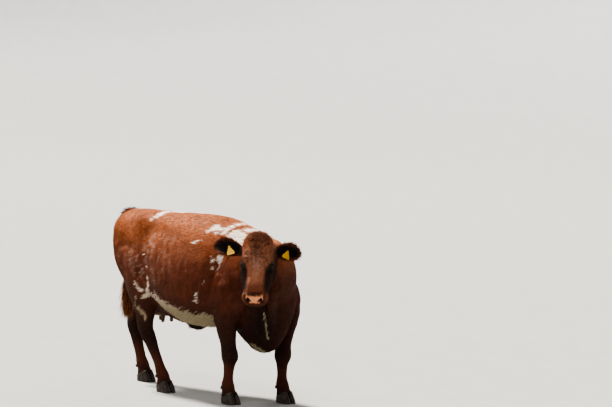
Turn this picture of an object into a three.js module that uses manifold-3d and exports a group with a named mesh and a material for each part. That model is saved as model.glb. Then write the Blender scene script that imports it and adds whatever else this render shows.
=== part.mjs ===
// A polled beef Shorthorn cow, standing, life size, looking round to its right.
// Millimetres. +X is the way the body faces, +Y its left, +Z up, and the hooves stand on z = 0.
// Stations are written about the cow's own middle, and the finished group is shifted once at the end.
import * as THREE from "three";
import { mergeVertices } from "three/addons/utils/BufferGeometryUtils.js";
import Module from "manifold-3d";

const wasm = await Module();
wasm.setup();

const gap = 0.6; // width of every cut between two parts
const weldDistance = 1e-3; // vertices closer than this are one vertex
const sides = [["right", -1], ["left", 1]];

const coat = { color: 0x6e3018, roughness: 0.75, metalness: 0 };
const finishes = {
  redCoat: new THREE.MeshStandardMaterial(coat),
  darkCoat: new THREE.MeshStandardMaterial({ ...coat, color: 0x4a1f12 }),
  udderSkin: new THREE.MeshStandardMaterial({ color: 0xa87866, roughness: 0.6, metalness: 0 }),
  hoofHorn: new THREE.MeshStandardMaterial({ color: 0x3b3028, roughness: 0.45, metalness: 0 }),
  eyeball: new THREE.MeshStandardMaterial({ color: 0x140d0a, roughness: 0.08, metalness: 0 }),
  yellowTag: new THREE.MeshStandardMaterial({ color: 0xe3b51c, roughness: 0.4, metalness: 0 }),
};

// ---- numbers to curves -------------------------------------------------------------------------

// Rows of numbers become one smooth curve: every column is a cubic through its rows, spaced by column 0.
function rowAt(rows, place) {
  const i = Math.min(Math.floor(place), rows.length - 2);
  const [before, from, to, after] = [i - 1, i, i + 1, i + 2].map(
    (k) => rows[THREE.MathUtils.clamp(k, 0, rows.length - 1)],
  );
  const u = place - i;
  const span = to[0] - from[0];
  return from.map((start, k) => {
    if (k === 0) return start + span * u;
    const leaving = (span * (to[k] - before[k])) / (to[0] - before[0]);
    const arriving = (span * (after[k] - start)) / (after[0] - from[0]);
    const stop = to[k];
    return (
      start + u * (leaving + u * (3 * (stop - start) - 2 * leaving - arriving +
        u * (2 * (start - stop) + leaving + arriving)))
    );
  });
}

// The same curve read at a value of column 0 instead of a row number. Column 0 may fall or rise.
function rowAtValue(rows, value) {
  const rising = Math.sign(rows.at(-1)[0] - rows[0][0]);
  let i = 0;
  while (i < rows.length - 2 && rising * (value - rows[i + 1][0]) > 0) i++;
  return rowAt(rows, i + THREE.MathUtils.clamp((value - rows[i][0]) / (rows[i + 1][0] - rows[i][0]), 0, 1));
}

const power = (value, exponent) => Math.sign(value) * Math.abs(value) ** exponent;

// A point of a section with its own reach each way and its own squareness above and below.
function sectionPoint(section, angle, share) {
  const { centre, u, v, right, left, up, down, squareUp = 2, squareDown = 2 } = section;
  const square = Math.sin(angle) > 0 ? squareUp : squareDown;
  const across = power(Math.cos(angle), 2 / square);
  const above = power(Math.sin(angle), 2 / square);
  return centre
    .clone()
    .addScaledVector(u, share * across * (across > 0 ? right : left))
    .addScaledVector(v, share * above * (above > 0 ? up : down));
}

// Sections carried along a row of stations: a closed cylinder whose vertices move to the section at
// their own height and angle. Lumps are round swellings or hollows, pushed out from the section's middle.
function loft(stations, sectionOf, { around, between = 1, lumps = [] }) {
  const rings = (stations.length - 1) * between;
  const tube = new THREE.CylinderGeometry(1, 1, rings, around, rings);
  const vertex = tube.attributes.position;
  for (let i = 0; i < vertex.count; i++) {
    const place = (vertex.getY(i) + rings / 2) / between;
    const section = sectionOf(rowAt(stations, place));
    const share = Math.hypot(vertex.getX(i), vertex.getZ(i));
    const point = sectionPoint(section, Math.atan2(vertex.getZ(i), vertex.getX(i)), share);
    const outwards = point.clone().sub(section.centre).normalize();
    for (const { at, reach, height } of lumps) {
      point.addScaledVector(outwards, share * height * Math.exp(-point.distanceToSquared(at) / reach ** 2));
    }
    vertex.setXYZ(i, point.x, point.y, point.z);
  }
  return tube;
}

const mirrored = (lumps) =>
  lumps.flatMap(({ at: [x, y, z], ...rest }) =>
    sides.map(([, side]) => ({ at: new THREE.Vector3(x, side * y, z), ...rest })),
  );

// ---- solids ------------------------------------------------------------------------------------

const manifoldOf = (geometry) =>
  new wasm.Manifold(
    new wasm.Mesh({
      numProp: 3,
      vertProperties: geometry.attributes.position.array,
      triVerts: new Uint32Array(geometry.index.array),
    }),
  );

// A closed solid from a shape. Swollen by the gap, it is the socket that the same shape sits in.
function solidOf(geometry, swelling = 0) {
  const bare = geometry.clone();
  bare.deleteAttribute("normal");
  bare.deleteAttribute("uv");
  const closed = mergeVertices(bare, weldDistance);
  if (manifoldOf(closed).volume() < 0) closed.index.array.reverse(); // the faces point outwards
  closed.computeVertexNormals();
  const { position, normal } = closed.attributes;
  const point = new THREE.Vector3();
  const outwards = new THREE.Vector3();
  for (let i = 0; i < position.count; i++) {
    point.fromBufferAttribute(position, i);
    point.addScaledVector(outwards.fromBufferAttribute(normal, i), swelling);
    position.setXYZ(i, point.x, point.y, point.z);
  }
  return manifoldOf(closed);
}

const joined = (solids) => solids.reduce((whole, piece) => whole.add(piece));
const without = (solid, cutters) => cutters.reduce((rest, cutter) => rest.subtract(cutter), solid);
const largestOf = (solid) =>
  solid.decompose().reduce((best, piece) => (piece.volume() > best.volume() ? piece : best));

// Everything in front of a plane, as a large box.
function halfSpace(point, normal, shift = 0) {
  const size = 4000;
  const box = new THREE.BoxGeometry(size, size, size);
  box.translate(0, 0, size / 2 + shift);
  box.applyQuaternion(
    new THREE.Quaternion().setFromUnitVectors(new THREE.Vector3(0, 0, 1), normal.clone().normalize()),
  );
  box.translate(point.x, point.y, point.z);
  return solidOf(box);
}

// A solid parted by a plane, with the gap between its two pieces: [behind, in front].
function parted(solid, point, normal) {
  return [
    solid.intersect(halfSpace(point, normal.clone().negate(), gap / 2)),
    solid.intersect(halfSpace(point, normal, gap / 2)),
  ];
}

// ---- trunk and neck ----------------------------------------------------------------------------

// [x, y, yaw in degrees, top, widest height, bottom, half width, squareness above, below], tail to poll
const torsoStations = [
  [-828, 0, 0, 1190, 1110, 1020, 70, 2, 2],
  [-808, 0, 0, 1266, 1115, 920, 140, 2.1, 2],
  [-750, 0, 0, 1324, 1112, 800, 208, 2.2, 2],
  [-640, 0, 0, 1344, 1105, 695, 250, 2.3, 2],
  [-455, 0, 0, 1347, 1095, 605, 280, 2.5, 1.9],
  [-320, 0, 0, 1348, 1020, 562, 308, 2.3, 2],
  [-150, 0, 0, 1354, 920, 526, 355, 2.1, 2.1],
  [50, 0, 0, 1359, 875, 514, 374, 2, 2.2],
  [220, 0, 0, 1350, 872, 520, 356, 1.9, 2.1],
  [370, 0, 0, 1316, 885, 540, 312, 1.8, 2],
  [480, 0, -2, 1274, 905, 565, 276, 1.75, 2],
  [595, -12, -12, 1243, 925, 605, 242, 1.75, 2],
  [690, -48, -28, 1226, 945, 640, 198, 1.8, 1.9],
  [755, -112, -42, 1212, 980, 715, 150, 1.8, 1.8],
  [797, -188, -50, 1216, 1020, 800, 114, 1.9, 1.8],
  [822, -254, -53, 1224, 1050, 885, 98, 2, 2],
  [845, -312, -53, 1206, 1070, 950, 74, 2, 2],
];

const torsoLumps = mirrored([
  { at: [-455, 268, 1270], reach: 85, height: 26 }, // hook bones
  { at: [-786, 118, 1190], reach: 60, height: 18 }, // pin bones
  { at: [-300, 285, 1195], reach: 105, height: -24 }, // hollows of the flank
  { at: [330, 300, 1040], reach: 130, height: -12 }, // behind the shoulder blades
  { at: [-120, 360, 780], reach: 260, height: 14 }, // the full belly
]);

function torsoSection([x, y, yaw, top, widest, bottom, halfWidth, squareUp, squareDown]) {
  const turn = THREE.MathUtils.degToRad(yaw);
  return {
    centre: new THREE.Vector3(x, y, widest),
    u: new THREE.Vector3(Math.sin(turn), -Math.cos(turn), 0),
    v: new THREE.Vector3(0, 0, 1),
    right: halfWidth,
    left: halfWidth,
    up: top - widest,
    down: widest - bottom,
    squareUp,
    squareDown,
  };
}

// [x, top, widest height, bottom, half width] of the brisket, which stays straight ahead
const brisketStations = [
  [290, 760, 690, 560, 60],
  [350, 940, 700, 520, 130],
  [450, 1060, 720, 446, 180],
  [560, 1110, 750, 388, 206],
  [670, 1100, 770, 392, 204],
  [750, 1050, 800, 462, 172],
  [800, 985, 820, 572, 126],
  [828, 900, 830, 700, 64],
];

function brisketSection([x, top, widest, bottom, halfWidth]) {
  return torsoSection([x, 0, 0, top, widest, bottom, halfWidth, 2, 1.7]);
}

// [distance down the neck, x, y, top, bottom, half thickness] of the loose dewlap under the neck
const dewlapStations = [
  [0, 600, -10, 700, 402, 60],
  [110, 705, -46, 800, 446, 58],
  [200, 765, -108, 880, 552, 46],
  [290, 808, -188, 960, 690, 34],
  [350, 838, -250, 990, 800, 24],
];

function dewlapSection([distance, x, y, top, bottom, halfThickness]) {
  const yaw = THREE.MathUtils.lerp(-10, -52, distance / dewlapStations.at(-1)[0]);
  return torsoSection([x, y, yaw, top, (top + bottom) / 2, bottom, halfThickness, 2, 1.8]);
}

// [x, top, widest height, bottom, half width] of the fold of skin at the navel
const navelStations = [
  [-160, 560, 538, 520, 10],
  [-105, 560, 514, 486, 20],
  [-45, 560, 508, 474, 24],
  [5, 560, 510, 480, 20],
  [60, 560, 526, 502, 10],
];

// Where the neck is parted from the trunk.
const neckPoint = new THREE.Vector3(640, -22, 1000);
const neckNormal = new THREE.Vector3(Math.cos(-0.3), Math.sin(-0.3), 0.28);

// ---- legs --------------------------------------------------------------------------------------

// The line down the middle of each leg, as [height, x, distance out to its side].
const legLines = {
  fore_right: [[1235, 430, 130], [1080, 470, 150], [960, 484, 176], [840, 478, 202], [690, 440, 206],
    [600, 416, 206], [520, 424, 206], [350, 462, 204], [240, 462, 202], [140, 462, 202], [58, 480, 204]],
  fore_left: [[1235, 430, 130], [1080, 480, 156], [960, 512, 192], [840, 550, 226], [690, 584, 250],
    [600, 598, 255], [520, 602, 248], [350, 608, 235], [240, 614, 234], [140, 622, 238], [58, 640, 242]],
  hind_right: [[1225, -585, 130], [1080, -592, 158], [920, -534, 180], [765, -440, 192], [600, -395, 192],
    [480, -385, 188], [400, -355, 184], [290, -290, 178], [140, -208, 170], [58, -184, 168]],
  hind_left: [[1225, -585, 130], [1080, -596, 158], [920, -584, 176], [765, -600, 178], [600, -694, 172],
    [480, -790, 166], [400, -800, 164], [290, -764, 164], [140, -704, 166], [58, -676, 168]],
};

// [height, forward, back, out, in, squareness] about that line
const foreSections = [
  [1235, 45, 55, 4, 60, 2],
  [1180, 90, 100, 32, 90, 2],
  [1080, 145, 138, 82, 100, 2],
  [960, 190, 162, 98, 120, 2.1],
  [860, 205, 165, 102, 120, 2.1],
  [770, 180, 150, 98, 110, 2],
  [690, 146, 136, 92, 90, 2],
  [610, 108, 110, 82, 72, 2],
  [520, 80, 88, 68, 60, 2],
  [425, 62, 68, 58, 52, 2],
  [380, 64, 64, 61, 57, 2.3],
  [335, 62, 62, 59, 56, 2.4],
  [280, 44, 48, 42, 39, 2.1],
  [190, 37, 43, 38, 36, 2],
  [140, 46, 53, 51, 48, 2.1],
  [100, 48, 50, 52, 50, 2.1],
  [58, 56, 54, 56, 55, 2.4],
];

const hindSections = [
  [1225, 60, 60, 24, 60, 2],
  [1170, 130, 112, 60, 90, 2],
  [1080, 185, 150, 96, 112, 2.1],
  [960, 210, 182, 116, 126, 2.1],
  [860, 200, 180, 116, 118, 2.1],
  [765, 170, 176, 104, 106, 2],
  [685, 132, 148, 88, 84, 2],
  [608, 102, 118, 72, 62, 2],
  [530, 78, 96, 56, 50, 1.9],
  [472, 68, 90, 54, 49, 1.8],
  [430, 68, 77, 55, 51, 2],
  [380, 63, 60, 52, 49, 2.2],
  [320, 52, 51, 43, 39, 2.1],
  [200, 44, 45, 38, 36, 2],
  [144, 52, 54, 48, 46, 2.1],
  [100, 52, 46, 50, 48, 2.1],
  [58, 56, 54, 55, 54, 2.4],
];

const legSections = { fore: foreSections, hind: hindSections };
const kneeHeight = { fore: 372, hind: 430 };
// Side view outlines of the shoulder and the thigh, as [x, height], down past the hooves.
const legOutlines = {
  fore: [[300, -10], [300, 620], [322, 800], [350, 960], [390, 1100], [430, 1172], [478, 1190], [528, 1150],
    [600, 1050], [680, 950], [742, 850], [755, 760], [735, 660], [735, -10]],
  hind: [[-990, -10], [-990, 900], [-820, 980], [-770, 1080], [-700, 1165], [-610, 1205], [-520, 1180],
    [-440, 1090], [-372, 960], [-318, 820], [-290, 700], [-290, 560], [-100, 400], [-100, -10]],
};
const legInset = { fore: 118, hind: 96 }; // how far out from the middle of the cow the cut lies
const legReach = 500;
const toeIn = { fore: 0.32, hind: -0.22 }; // how far the shoulder closes to the front, and the rump behind

const coronetSlope = 0.32; // how steeply the top of the hooves rises to the front
const coronetHeight = 58; // where the legs' own sections end, just above the hooves
const pasternTop = 145;

// The foot's sections tip up to the front, more the nearer they are to the hoof.
const slopeAt = (height) =>
  coronetSlope * THREE.MathUtils.clamp((pasternTop - height) / (pasternTop - coronetHeight), 0, 1);

function legSection(line, side, turnIn) {
  return ([height, front, back, out, inside, squareness]) => {
    const [, x, y] = rowAtValue(line, height);
    return {
      centre: new THREE.Vector3(x, side * y, height),
      u: new THREE.Vector3(1, -side * turnIn * THREE.MathUtils.smoothstep(height, 600, 900), slopeAt(height)),
      v: new THREE.Vector3(0, side, 0),
      right: front,
      left: back,
      up: out,
      down: inside,
      squareUp: squareness,
      squareDown: squareness,
    };
  };
}

// Claws: [height, forward, back, out, in, shift forward] for one claw of a pair
const clawSections = [
  [57, 50, 50, 26, 24, 0],
  [22, 65, 56, 30, 26, 10],
  [0, 70, 56, 30, 26, 14],
];
const clawSpread = 28; // each claw's middle from the middle of the foot
const clawSplay = 0.05; // how much the toes part to the front
const clawSides = [["outer", 1], ["inner", -1]];

function clawSection(foot, side, outer) {
  return ([height, front, back, out, inside, shift]) => ({
    centre: new THREE.Vector3(foot.x + shift, foot.y + side * outer * clawSpread, height),
    u: new THREE.Vector3(1, side * outer * clawSplay, (coronetSlope * height) / coronetHeight),
    v: new THREE.Vector3(0, side * outer, 0),
    right: front,
    left: back,
    up: out,
    down: inside,
    squareUp: 2.4,
    squareDown: 3,
  });
}

// Dewclaws: small blunt cones low on the back of the leg, [distance out, radius]
const dewclawStations = [
  [-14, 12],
  [8, 13],
  [19, 7],
];
const dewclaw = { height: 120, back: 36, out: 22, droop: 50, spread: 18 };

function dewclawSection(line, side, outer) {
  const [, x, y] = rowAtValue(line, dewclaw.height);
  const base = new THREE.Vector3(x - dewclaw.back, side * y + outer * side * dewclaw.out, dewclaw.height);
  const droop = THREE.MathUtils.degToRad(dewclaw.droop);
  const spread = THREE.MathUtils.degToRad(dewclaw.spread) * outer * side;
  const outwards = new THREE.Vector3(-Math.cos(droop) * Math.cos(spread), Math.sin(spread), -Math.sin(droop));
  const across = new THREE.Vector3(0, 1, 0).cross(outwards).normalize();
  const up = outwards.clone().cross(across);
  return ([distance, radius]) => ({
    centre: base.clone().addScaledVector(outwards, distance),
    u: across,
    v: up,
    right: radius,
    left: radius,
    up: radius,
    down: radius,
  });
}

// ---- head --------------------------------------------------------------------------------------

const headPlace = { x: 797, y: -378, z: 1286, yaw: -56, pitch: 24, roll: -1.8 };

// The head's own frame: X down the face to the muzzle, Y to the cow's left, Z out of the forehead.
function headMatrix({ x, y, z, yaw, pitch, roll }) {
  const turn = THREE.MathUtils.degToRad(yaw);
  const lean = THREE.MathUtils.degToRad(pitch);
  const ahead = new THREE.Vector3(Math.cos(turn), Math.sin(turn), 0);
  const up = new THREE.Vector3(0, 0, 1);
  const down = ahead.clone().multiplyScalar(Math.sin(lean)).addScaledVector(up, -Math.cos(lean));
  const left = new THREE.Vector3(-Math.sin(turn), Math.cos(turn), 0);
  const basis = new THREE.Matrix4().makeBasis(down, left, down.clone().cross(left));
  const tipped = new THREE.Matrix4().makeRotationAxis(ahead, THREE.MathUtils.degToRad(-roll));
  return new THREE.Matrix4().makeTranslation(x, y, z).multiply(tipped).multiply(basis);
}
const headFrame = headMatrix(headPlace);

// [distance below the poll, brow or nose height, widest height, jaw height, half width,
// squareness above, below]
const headStations = [
  [-36, -52, -74, -100, 30, 2, 2],
  [-24, -22, -72, -140, 56, 2, 2],
  [2, -4, -74, -186, 80, 2.1, 2],
  [43, 4, -76, -226, 106, 2.3, 2],
  [99, 6, -70, -256, 119, 2.5, 1.9],
  [165, 5, -62, -270, 122, 2.6, 1.8],
  [224, 0, -66, -268, 120, 2.3, 1.8],
  [268, -4, -92, -248, 118, 2, 1.8],
  [310, -4, -98, -222, 115, 1.9, 1.8],
  [357, -4, -92, -192, 108, 2, 1.9],
  [404, -5, -84, -168, 99, 2.2, 2],
  [440, -9, -82, -156, 95, 2.4, 2.1],
  [468, -20, -84, -150, 91, 2.6, 2.1],
  [490, -40, -90, -144, 84, 2.5, 2.1],
  [508, -66, -96, -134, 66, 2.3, 2],
  [517, -88, -104, -120, 42, 2, 2],
];

const headLumps = mirrored([
  { at: [206, 98, -10], reach: 36, height: 10 }, // brow over the eye
  { at: [230, 122, -56], reach: 32, height: -16 }, // hollow that the eye sits in
  { at: [226, 98, -180], reach: 80, height: 12 }, // cheek muscle
  { at: [292, 66, -16], reach: 55, height: -8 }, // hollow beside the nose
  { at: [384, 98, -80], reach: 40, height: -4 }, // hollow above the lips
  { at: [470, 66, -42], reach: 28, height: 9 }, // wing of the nostril
  { at: [28, 40, 6], reach: 60, height: 8 }, // curled hair on the poll
  { at: [22, 66, -18], reach: 42, height: 11 }, // its corners
]);

function headSection([distance, brow, widest, jaw, halfWidth, squareUp, squareDown]) {
  return {
    centre: new THREE.Vector3(distance, 0, widest),
    u: new THREE.Vector3(0, -1, 0),
    v: new THREE.Vector3(0, 0, 1),
    right: halfWidth,
    left: halfWidth,
    up: brow - widest,
    down: widest - jaw,
    squareUp,
    squareDown,
  };
}

// Where the head is parted from the neck.
const headPoint = new THREE.Vector3(70, 0, -165).applyMatrix4(headFrame);
const headNormal = new THREE.Vector3(0.35, 0, 1).transformDirection(headFrame);

const nostril = { along: 482, out: 42, height: -36, size: [17, 10, 16], slant: 25 };
const eyeRadius = 21;
const eyePlace = { along: 226, out: 98, height: -53 };

// Ears: [share of the length, half width, half thickness], from root to tip
const earStations = [
  [0, 36, 26],
  [0.12, 42, 22],
  [0.3, 60, 13],
  [0.5, 70, 10],
  [0.7, 68, 9],
  [0.86, 52, 8],
  [0.96, 30, 6],
  [1, 12, 4],
];
const ear = { length: 236, rootAlong: 112, rootOut: 94, rootHeight: -92, rise: 12, cup: 26,
  curlFrom: 66 };
const earSweep = { "-1": 2, 1: 26 }; // degrees back, on the right and on the left

// One ear: a leaf carried out along its midrib, its edges curled forward.
function earSection(side) {
  const rise = THREE.MathUtils.degToRad(ear.rise);
  const sweep = THREE.MathUtils.degToRad(earSweep[side]);
  const out = new THREE.Vector3(-Math.sin(rise), side * Math.cos(rise) * Math.cos(sweep), -Math.sin(sweep));
  out.normalize();
  const across = new THREE.Vector3(1, 0, 0).addScaledVector(out, -out.x).normalize();
  const facing = across.clone().cross(out).multiplyScalar(side);
  const root = new THREE.Vector3(ear.rootAlong, side * ear.rootOut, ear.rootHeight);
  return { out, across, facing, root };
}

function earGeometry(side) {
  const { out, across, facing, root } = earSection(side);
  return loft(
    earStations,
    ([share, halfWidth, halfThickness]) => ({
      centre: root.clone().addScaledVector(out, share * ear.length),
      u: across,
      v: facing,
      right: halfWidth,
      left: halfWidth,
      up: halfThickness,
      down: halfThickness,
    }),
    { around: 10 },
  );
}

// Curls the edges of an ear forward: each vertex moves by the square of its distance from the midrib.
function curled(geometry, side) {
  const { out, across, facing, root } = earSection(side);
  const vertex = geometry.attributes.position;
  const point = new THREE.Vector3();
  for (let i = 0; i < vertex.count; i++) {
    point.fromBufferAttribute(vertex, i).sub(root);
    const edge = point.dot(across) / ear.curlFrom;
    const fromRoot = THREE.MathUtils.smoothstep(point.dot(out) / ear.length, 0.05, 0.4);
    point.add(root).addScaledVector(facing, ear.cup * edge * edge * fromRoot);
    vertex.setXYZ(i, point.x, point.y, point.z);
  }
  return geometry;
}

// A flag tag: a plate with a narrow top in front of the ear, pinned through it to a button behind.
const tag = { share: 0.5, top: 2, neck: 20, flare: 10, width: 56, flareEnd: 46, height: 66, thickness: 3,
  ahead: 27, lean: 30, tilt: 10, pinRadius: 4, buttonRadius: 13, buttonDepth: 4, behind: -16 };

// The tag's own frame: X along the ear, Y up the hanging plate, Z out of the ear's inner face.
function tagFrame(side) {
  const { out, across, facing, root } = earSection(side);
  const pin = root.clone().addScaledVector(out, tag.share * ear.length);
  const along = out.clone().multiplyScalar(side);
  const basis = new THREE.Matrix4().makeBasis(along, across.clone().negate(), facing);
  const lean = new THREE.Matrix4().makeRotationZ(THREE.MathUtils.degToRad(-side * tag.lean));
  return headFrame.clone().multiply(basis.setPosition(pin)).multiply(lean);
}

function tagGeometry(side) {
  const halfOutline = [[tag.neck / 2, tag.top], [tag.neck / 2, tag.top - tag.flare],
    [tag.width / 2, tag.top - tag.flareEnd], [tag.width / 2, tag.top - tag.height]];
  const outline = [...halfOutline, ...halfOutline.map(([x, y]) => [-x, y]).reverse()];
  const shape = new THREE.Shape(outline.map(([x, y]) => new THREE.Vector2(x, y)));
  const plate = new THREE.ExtrudeGeometry(shape, { depth: tag.thickness, bevelEnabled: false });
  plate.rotateX(THREE.MathUtils.degToRad(-tag.tilt));
  plate.translate(0, 0, tag.ahead);
  return plate.applyMatrix4(tagFrame(side));
}

function tagPinGeometry(side) {
  const length = tag.ahead - tag.behind + tag.thickness / 2;
  const pin = new THREE.CylinderGeometry(tag.pinRadius, tag.pinRadius, length, 6);
  pin.rotateX(Math.PI / 2);
  pin.translate(0, 0, tag.behind + length / 2);
  return pin.applyMatrix4(tagFrame(side));
}

function tagButtonGeometry(side, height) {
  const button = new THREE.CylinderGeometry(tag.buttonRadius, tag.buttonRadius, tag.buttonDepth, 8);
  button.rotateX(Math.PI / 2);
  button.translate(0, 0, height);
  return button.applyMatrix4(tagFrame(side));
}

// ---- tail and udder ----------------------------------------------------------------------------

// [distance, x, y, height, half width, half depth] down the tail
const dockStations = [
  [0, -690, 0, 1296, 40, 24],
  [80, -768, -2, 1308, 38, 28],
  [140, -828, -8, 1276, 30, 27],
  [230, -860, -18, 1200, 23, 23],
  [380, -862, -12, 1050, 19, 19],
  [530, -820, 4, 905, 17, 17],
  [640, -786, 20, 798, 16, 16],
  [720, -764, 26, 720, 14, 14],
];
const switchStations = [
  [0, -790, 18, 815, 19, 19],
  [60, -774, 24, 755, 27, 25],
  [150, -758, 30, 665, 36, 30],
  [240, -756, 34, 575, 36, 28],
  [300, -756, 36, 505, 24, 19],
  [335, -756, 36, 455, 9, 8],
];

function tailSection(stations) {
  const middle = (distance) => new THREE.Vector3(...rowAtValue(stations, distance).slice(1, 4));
  return ([distance, x, y, z, halfWidth, halfDepth]) => {
    const along = middle(distance + 5).sub(middle(distance - 5)).normalize();
    const behind = new THREE.Vector3(0, 1, 0).cross(along).normalize();
    return {
      centre: new THREE.Vector3(x, y, z),
      u: along.clone().cross(behind).negate(),
      v: behind,
      right: halfWidth,
      left: halfWidth,
      up: halfDepth,
      down: halfDepth,
    };
  };
}

// [height, x, half length, half width] of the bag
const udderStations = [
  [790, -430, 120, 70],
  [710, -430, 165, 90],
  [645, -424, 172, 95],
  [592, -412, 150, 90],
  [558, -402, 108, 70],
  [544, -398, 54, 36],
];
const teat = { length: 66, top: 17, tip: 11, rounding: 6, root: 40, height: 570, ahead: 60, behind: -50,
  out: 45 };

function udderSection([height, x, halfLength, halfWidth]) {
  return {
    centre: new THREE.Vector3(x, 0, height),
    u: new THREE.Vector3(1, 0, 0),
    v: new THREE.Vector3(0, 1, 0),
    right: halfLength,
    left: halfLength,
    up: halfWidth,
    down: halfWidth,
  };
}

function teatGeometry(along, side) {
  const profile = [[0, -teat.length], [teat.tip, teat.rounding - teat.length], [teat.top, 0], [0, teat.root]];
  const shape = new THREE.LatheGeometry(profile.map(([radius, y]) => new THREE.Vector2(radius, y)), 7);
  shape.rotateX(Math.PI / 2);
  shape.translate(udderStations.at(-1)[1] + along, side * teat.out, teat.height);
  return shape;
}

// ---- the parts, each cut to leave room for those that sit in it --------------------------------

const cow = new THREE.Group();

function addPart(name, solid, material) {
  const { vertProperties, triVerts } = largestOf(solid).getMesh();
  const geometry = new THREE.BufferGeometry();
  geometry.setAttribute("position", new THREE.BufferAttribute(vertProperties, 3));
  geometry.setIndex(new THREE.BufferAttribute(triVerts, 1));
  geometry.computeVertexNormals();
  const mesh = new THREE.Mesh(geometry, material);
  mesh.name = name;
  cow.add(mesh);
}

// A shape as it is, and the room that it needs in what carries it.
const fitted = (geometry) => ({ solid: solidOf(geometry), socket: solidOf(geometry, gap) });

function buildLeg([name, line]) {
  const side = name.endsWith("left") ? 1 : -1;
  const kind = name.split("_")[0];
  const flesh = solidOf(loft(legSections[kind], legSection(line, side, toeIn[kind]), { around: 11 }));
  const [, x, y] = rowAtValue(line, coronetHeight);
  const foot = new THREE.Vector3(x, side * y, 0);
  const claws = clawSides.map(([which, outer]) => {
    const claw = loft(clawSections, clawSection(foot, side, outer), { around: 10 });
    return { name: `${name}_claw_${which}`, solid: solidOf(claw) };
  });
  const dewclaws = clawSides.map(([which, outer]) => {
    const shape = loft(dewclawStations, dewclawSection(line, side, outer), { around: 6 });
    return { name: `${name}_dewclaw_${which}`, ...fitted(shape) };
  });
  return { name, kind, side, flesh, claws, dewclaws };
}

// All that a leg takes from the body: a side view outline pushed out sideways, grown on request.
function legRegion({ kind, side }, grow) {
  const shape = new THREE.Shape(legOutlines[kind].map(([x, z]) => new THREE.Vector2(x, z)));
  const inner = legInset[kind] + (grow ? 0 : gap);
  const region = new THREE.ExtrudeGeometry(shape, {
    depth: legReach - inner,
    bevelEnabled: grow > 0,
    bevelThickness: grow,
    bevelSize: grow,
    bevelSegments: 1,
  });
  region.rotateX(Math.PI / 2);
  region.translate(0, legReach, 0);
  if (side < 0) region.scale(1, -1, 1);
  return solidOf(region);
}

function buildHead() {
  const skull = loft(headStations, headSection, { around: 22, lumps: headLumps });
  const nostrils = sides.map(([, side]) => {
    const pit = new THREE.SphereGeometry(1, 8, 5).scale(...nostril.size);
    pit.rotateZ(THREE.MathUtils.degToRad(side * nostril.slant));
    return solidOf(pit.translate(nostril.along, side * nostril.out, nostril.height).applyMatrix4(headFrame));
  });
  return without(solidOf(skull.applyMatrix4(headFrame)), nostrils);
}

function buildEye([name, side]) {
  const ball = new THREE.SphereGeometry(eyeRadius, 12, 7);
  ball.translate(eyePlace.along, side * eyePlace.out, eyePlace.height);
  return { name: `eye_${name}`, ...fitted(ball.applyMatrix4(headFrame)) };
}

function buildEar([name, side]) {
  const pin = fitted(tagPinGeometry(side));
  const leaf = fitted(curled(earGeometry(side), side).applyMatrix4(headFrame));
  const plate = solidOf(tagGeometry(side));
  const button = solidOf(tagButtonGeometry(side, tag.behind));
  return {
    name: `ear_${name}`,
    solid: leaf.solid.subtract(pin.socket),
    socket: leaf.socket,
    tagName: `ear_tag_${name}`,
    tagSolid: joined([plate, pin.solid, button]),
  };
}

const legs = Object.entries(legLines).map(buildLeg);
const head = buildHead();
const eyes = sides.map(buildEye);
const ears = sides.map(buildEar);
const dock = fitted(loft(dockStations, tailSection(dockStations), { around: 8 }));
const hairSwitch = solidOf(loft(switchStations, tailSection(switchStations), { around: 8 }));
const teats = sides.flatMap(([, side]) => [teatGeometry(teat.ahead, side), teatGeometry(teat.behind, side)]);
const bag = fitted(loft(udderStations, udderSection, { around: 14 }));

const flesh = joined([
  solidOf(loft(torsoStations, torsoSection, { around: 22, between: 1.5, lumps: torsoLumps })),
  solidOf(loft(brisketStations, brisketSection, { around: 14, between: 2 })),
  solidOf(loft(dewlapStations, dewlapSection, { around: 8, between: 2 })),
  solidOf(loft(navelStations, brisketSection, { around: 8 })),
  head,
  ...legs.map((leg) => leg.flesh),
]);
const body = without(flesh, legs.map((leg) => legRegion(leg, gap)));
const [trunk, ahead] = parted(body, neckPoint, neckNormal);
const [neck, face] = parted(ahead, headPoint, headNormal);
const earSockets = ears.map(({ socket }) => socket);

addPart("trunk", without(trunk, [dock.socket, bag.socket]), finishes.redCoat);
addPart("neck", without(neck, earSockets), finishes.redCoat);
addPart("head", without(face, [...eyes.map(({ socket }) => socket), ...earSockets]), finishes.redCoat);
eyes.forEach(({ name, solid }) => addPart(name, solid, finishes.eyeball));
ears.forEach(({ name, solid, tagName, tagSolid }) => {
  addPart(name, solid, finishes.darkCoat);
  addPart(tagName, tagSolid, finishes.yellowTag);
});
legs.forEach((leg) => {
  const knee = new THREE.Vector3(0, 0, kneeHeight[leg.kind]);
  const [shank, upper] = parted(flesh.intersect(legRegion(leg, 0)), knee, new THREE.Vector3(0, 0, 1));
  addPart(`${leg.name}_leg`, upper, finishes.redCoat);
  addPart(`${leg.name}_shank`, without(shank, leg.dewclaws.map(({ socket }) => socket)), finishes.darkCoat);
  [...leg.claws, ...leg.dewclaws].forEach((horn) => addPart(horn.name, horn.solid, finishes.hoofHorn));
});
addPart("udder", joined([bag.solid, ...teats.map((shape) => solidOf(shape))]), finishes.udderSkin);
addPart("tail", dock.solid, finishes.redCoat);
addPart("tail_switch", hairSwitch.subtract(dock.socket), finishes.darkCoat);

// The origin goes to the middle of the floor area that the cow covers.
const extent = new THREE.Box3().setFromObject(cow);
const middle = extent.getCenter(new THREE.Vector3());
cow.children.forEach((mesh) => mesh.geometry.translate(-middle.x, -middle.y, -extent.min.z));

export default cow;
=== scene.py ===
# A standing polled beef cow: skin, coat, eyes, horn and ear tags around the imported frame.
# The tables are in millimetres about the cow's own middle: +X the way the body faces, +Y its left, +Z up.
# Finished meshes are in metres, moved to the frame's place.
import math

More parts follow.
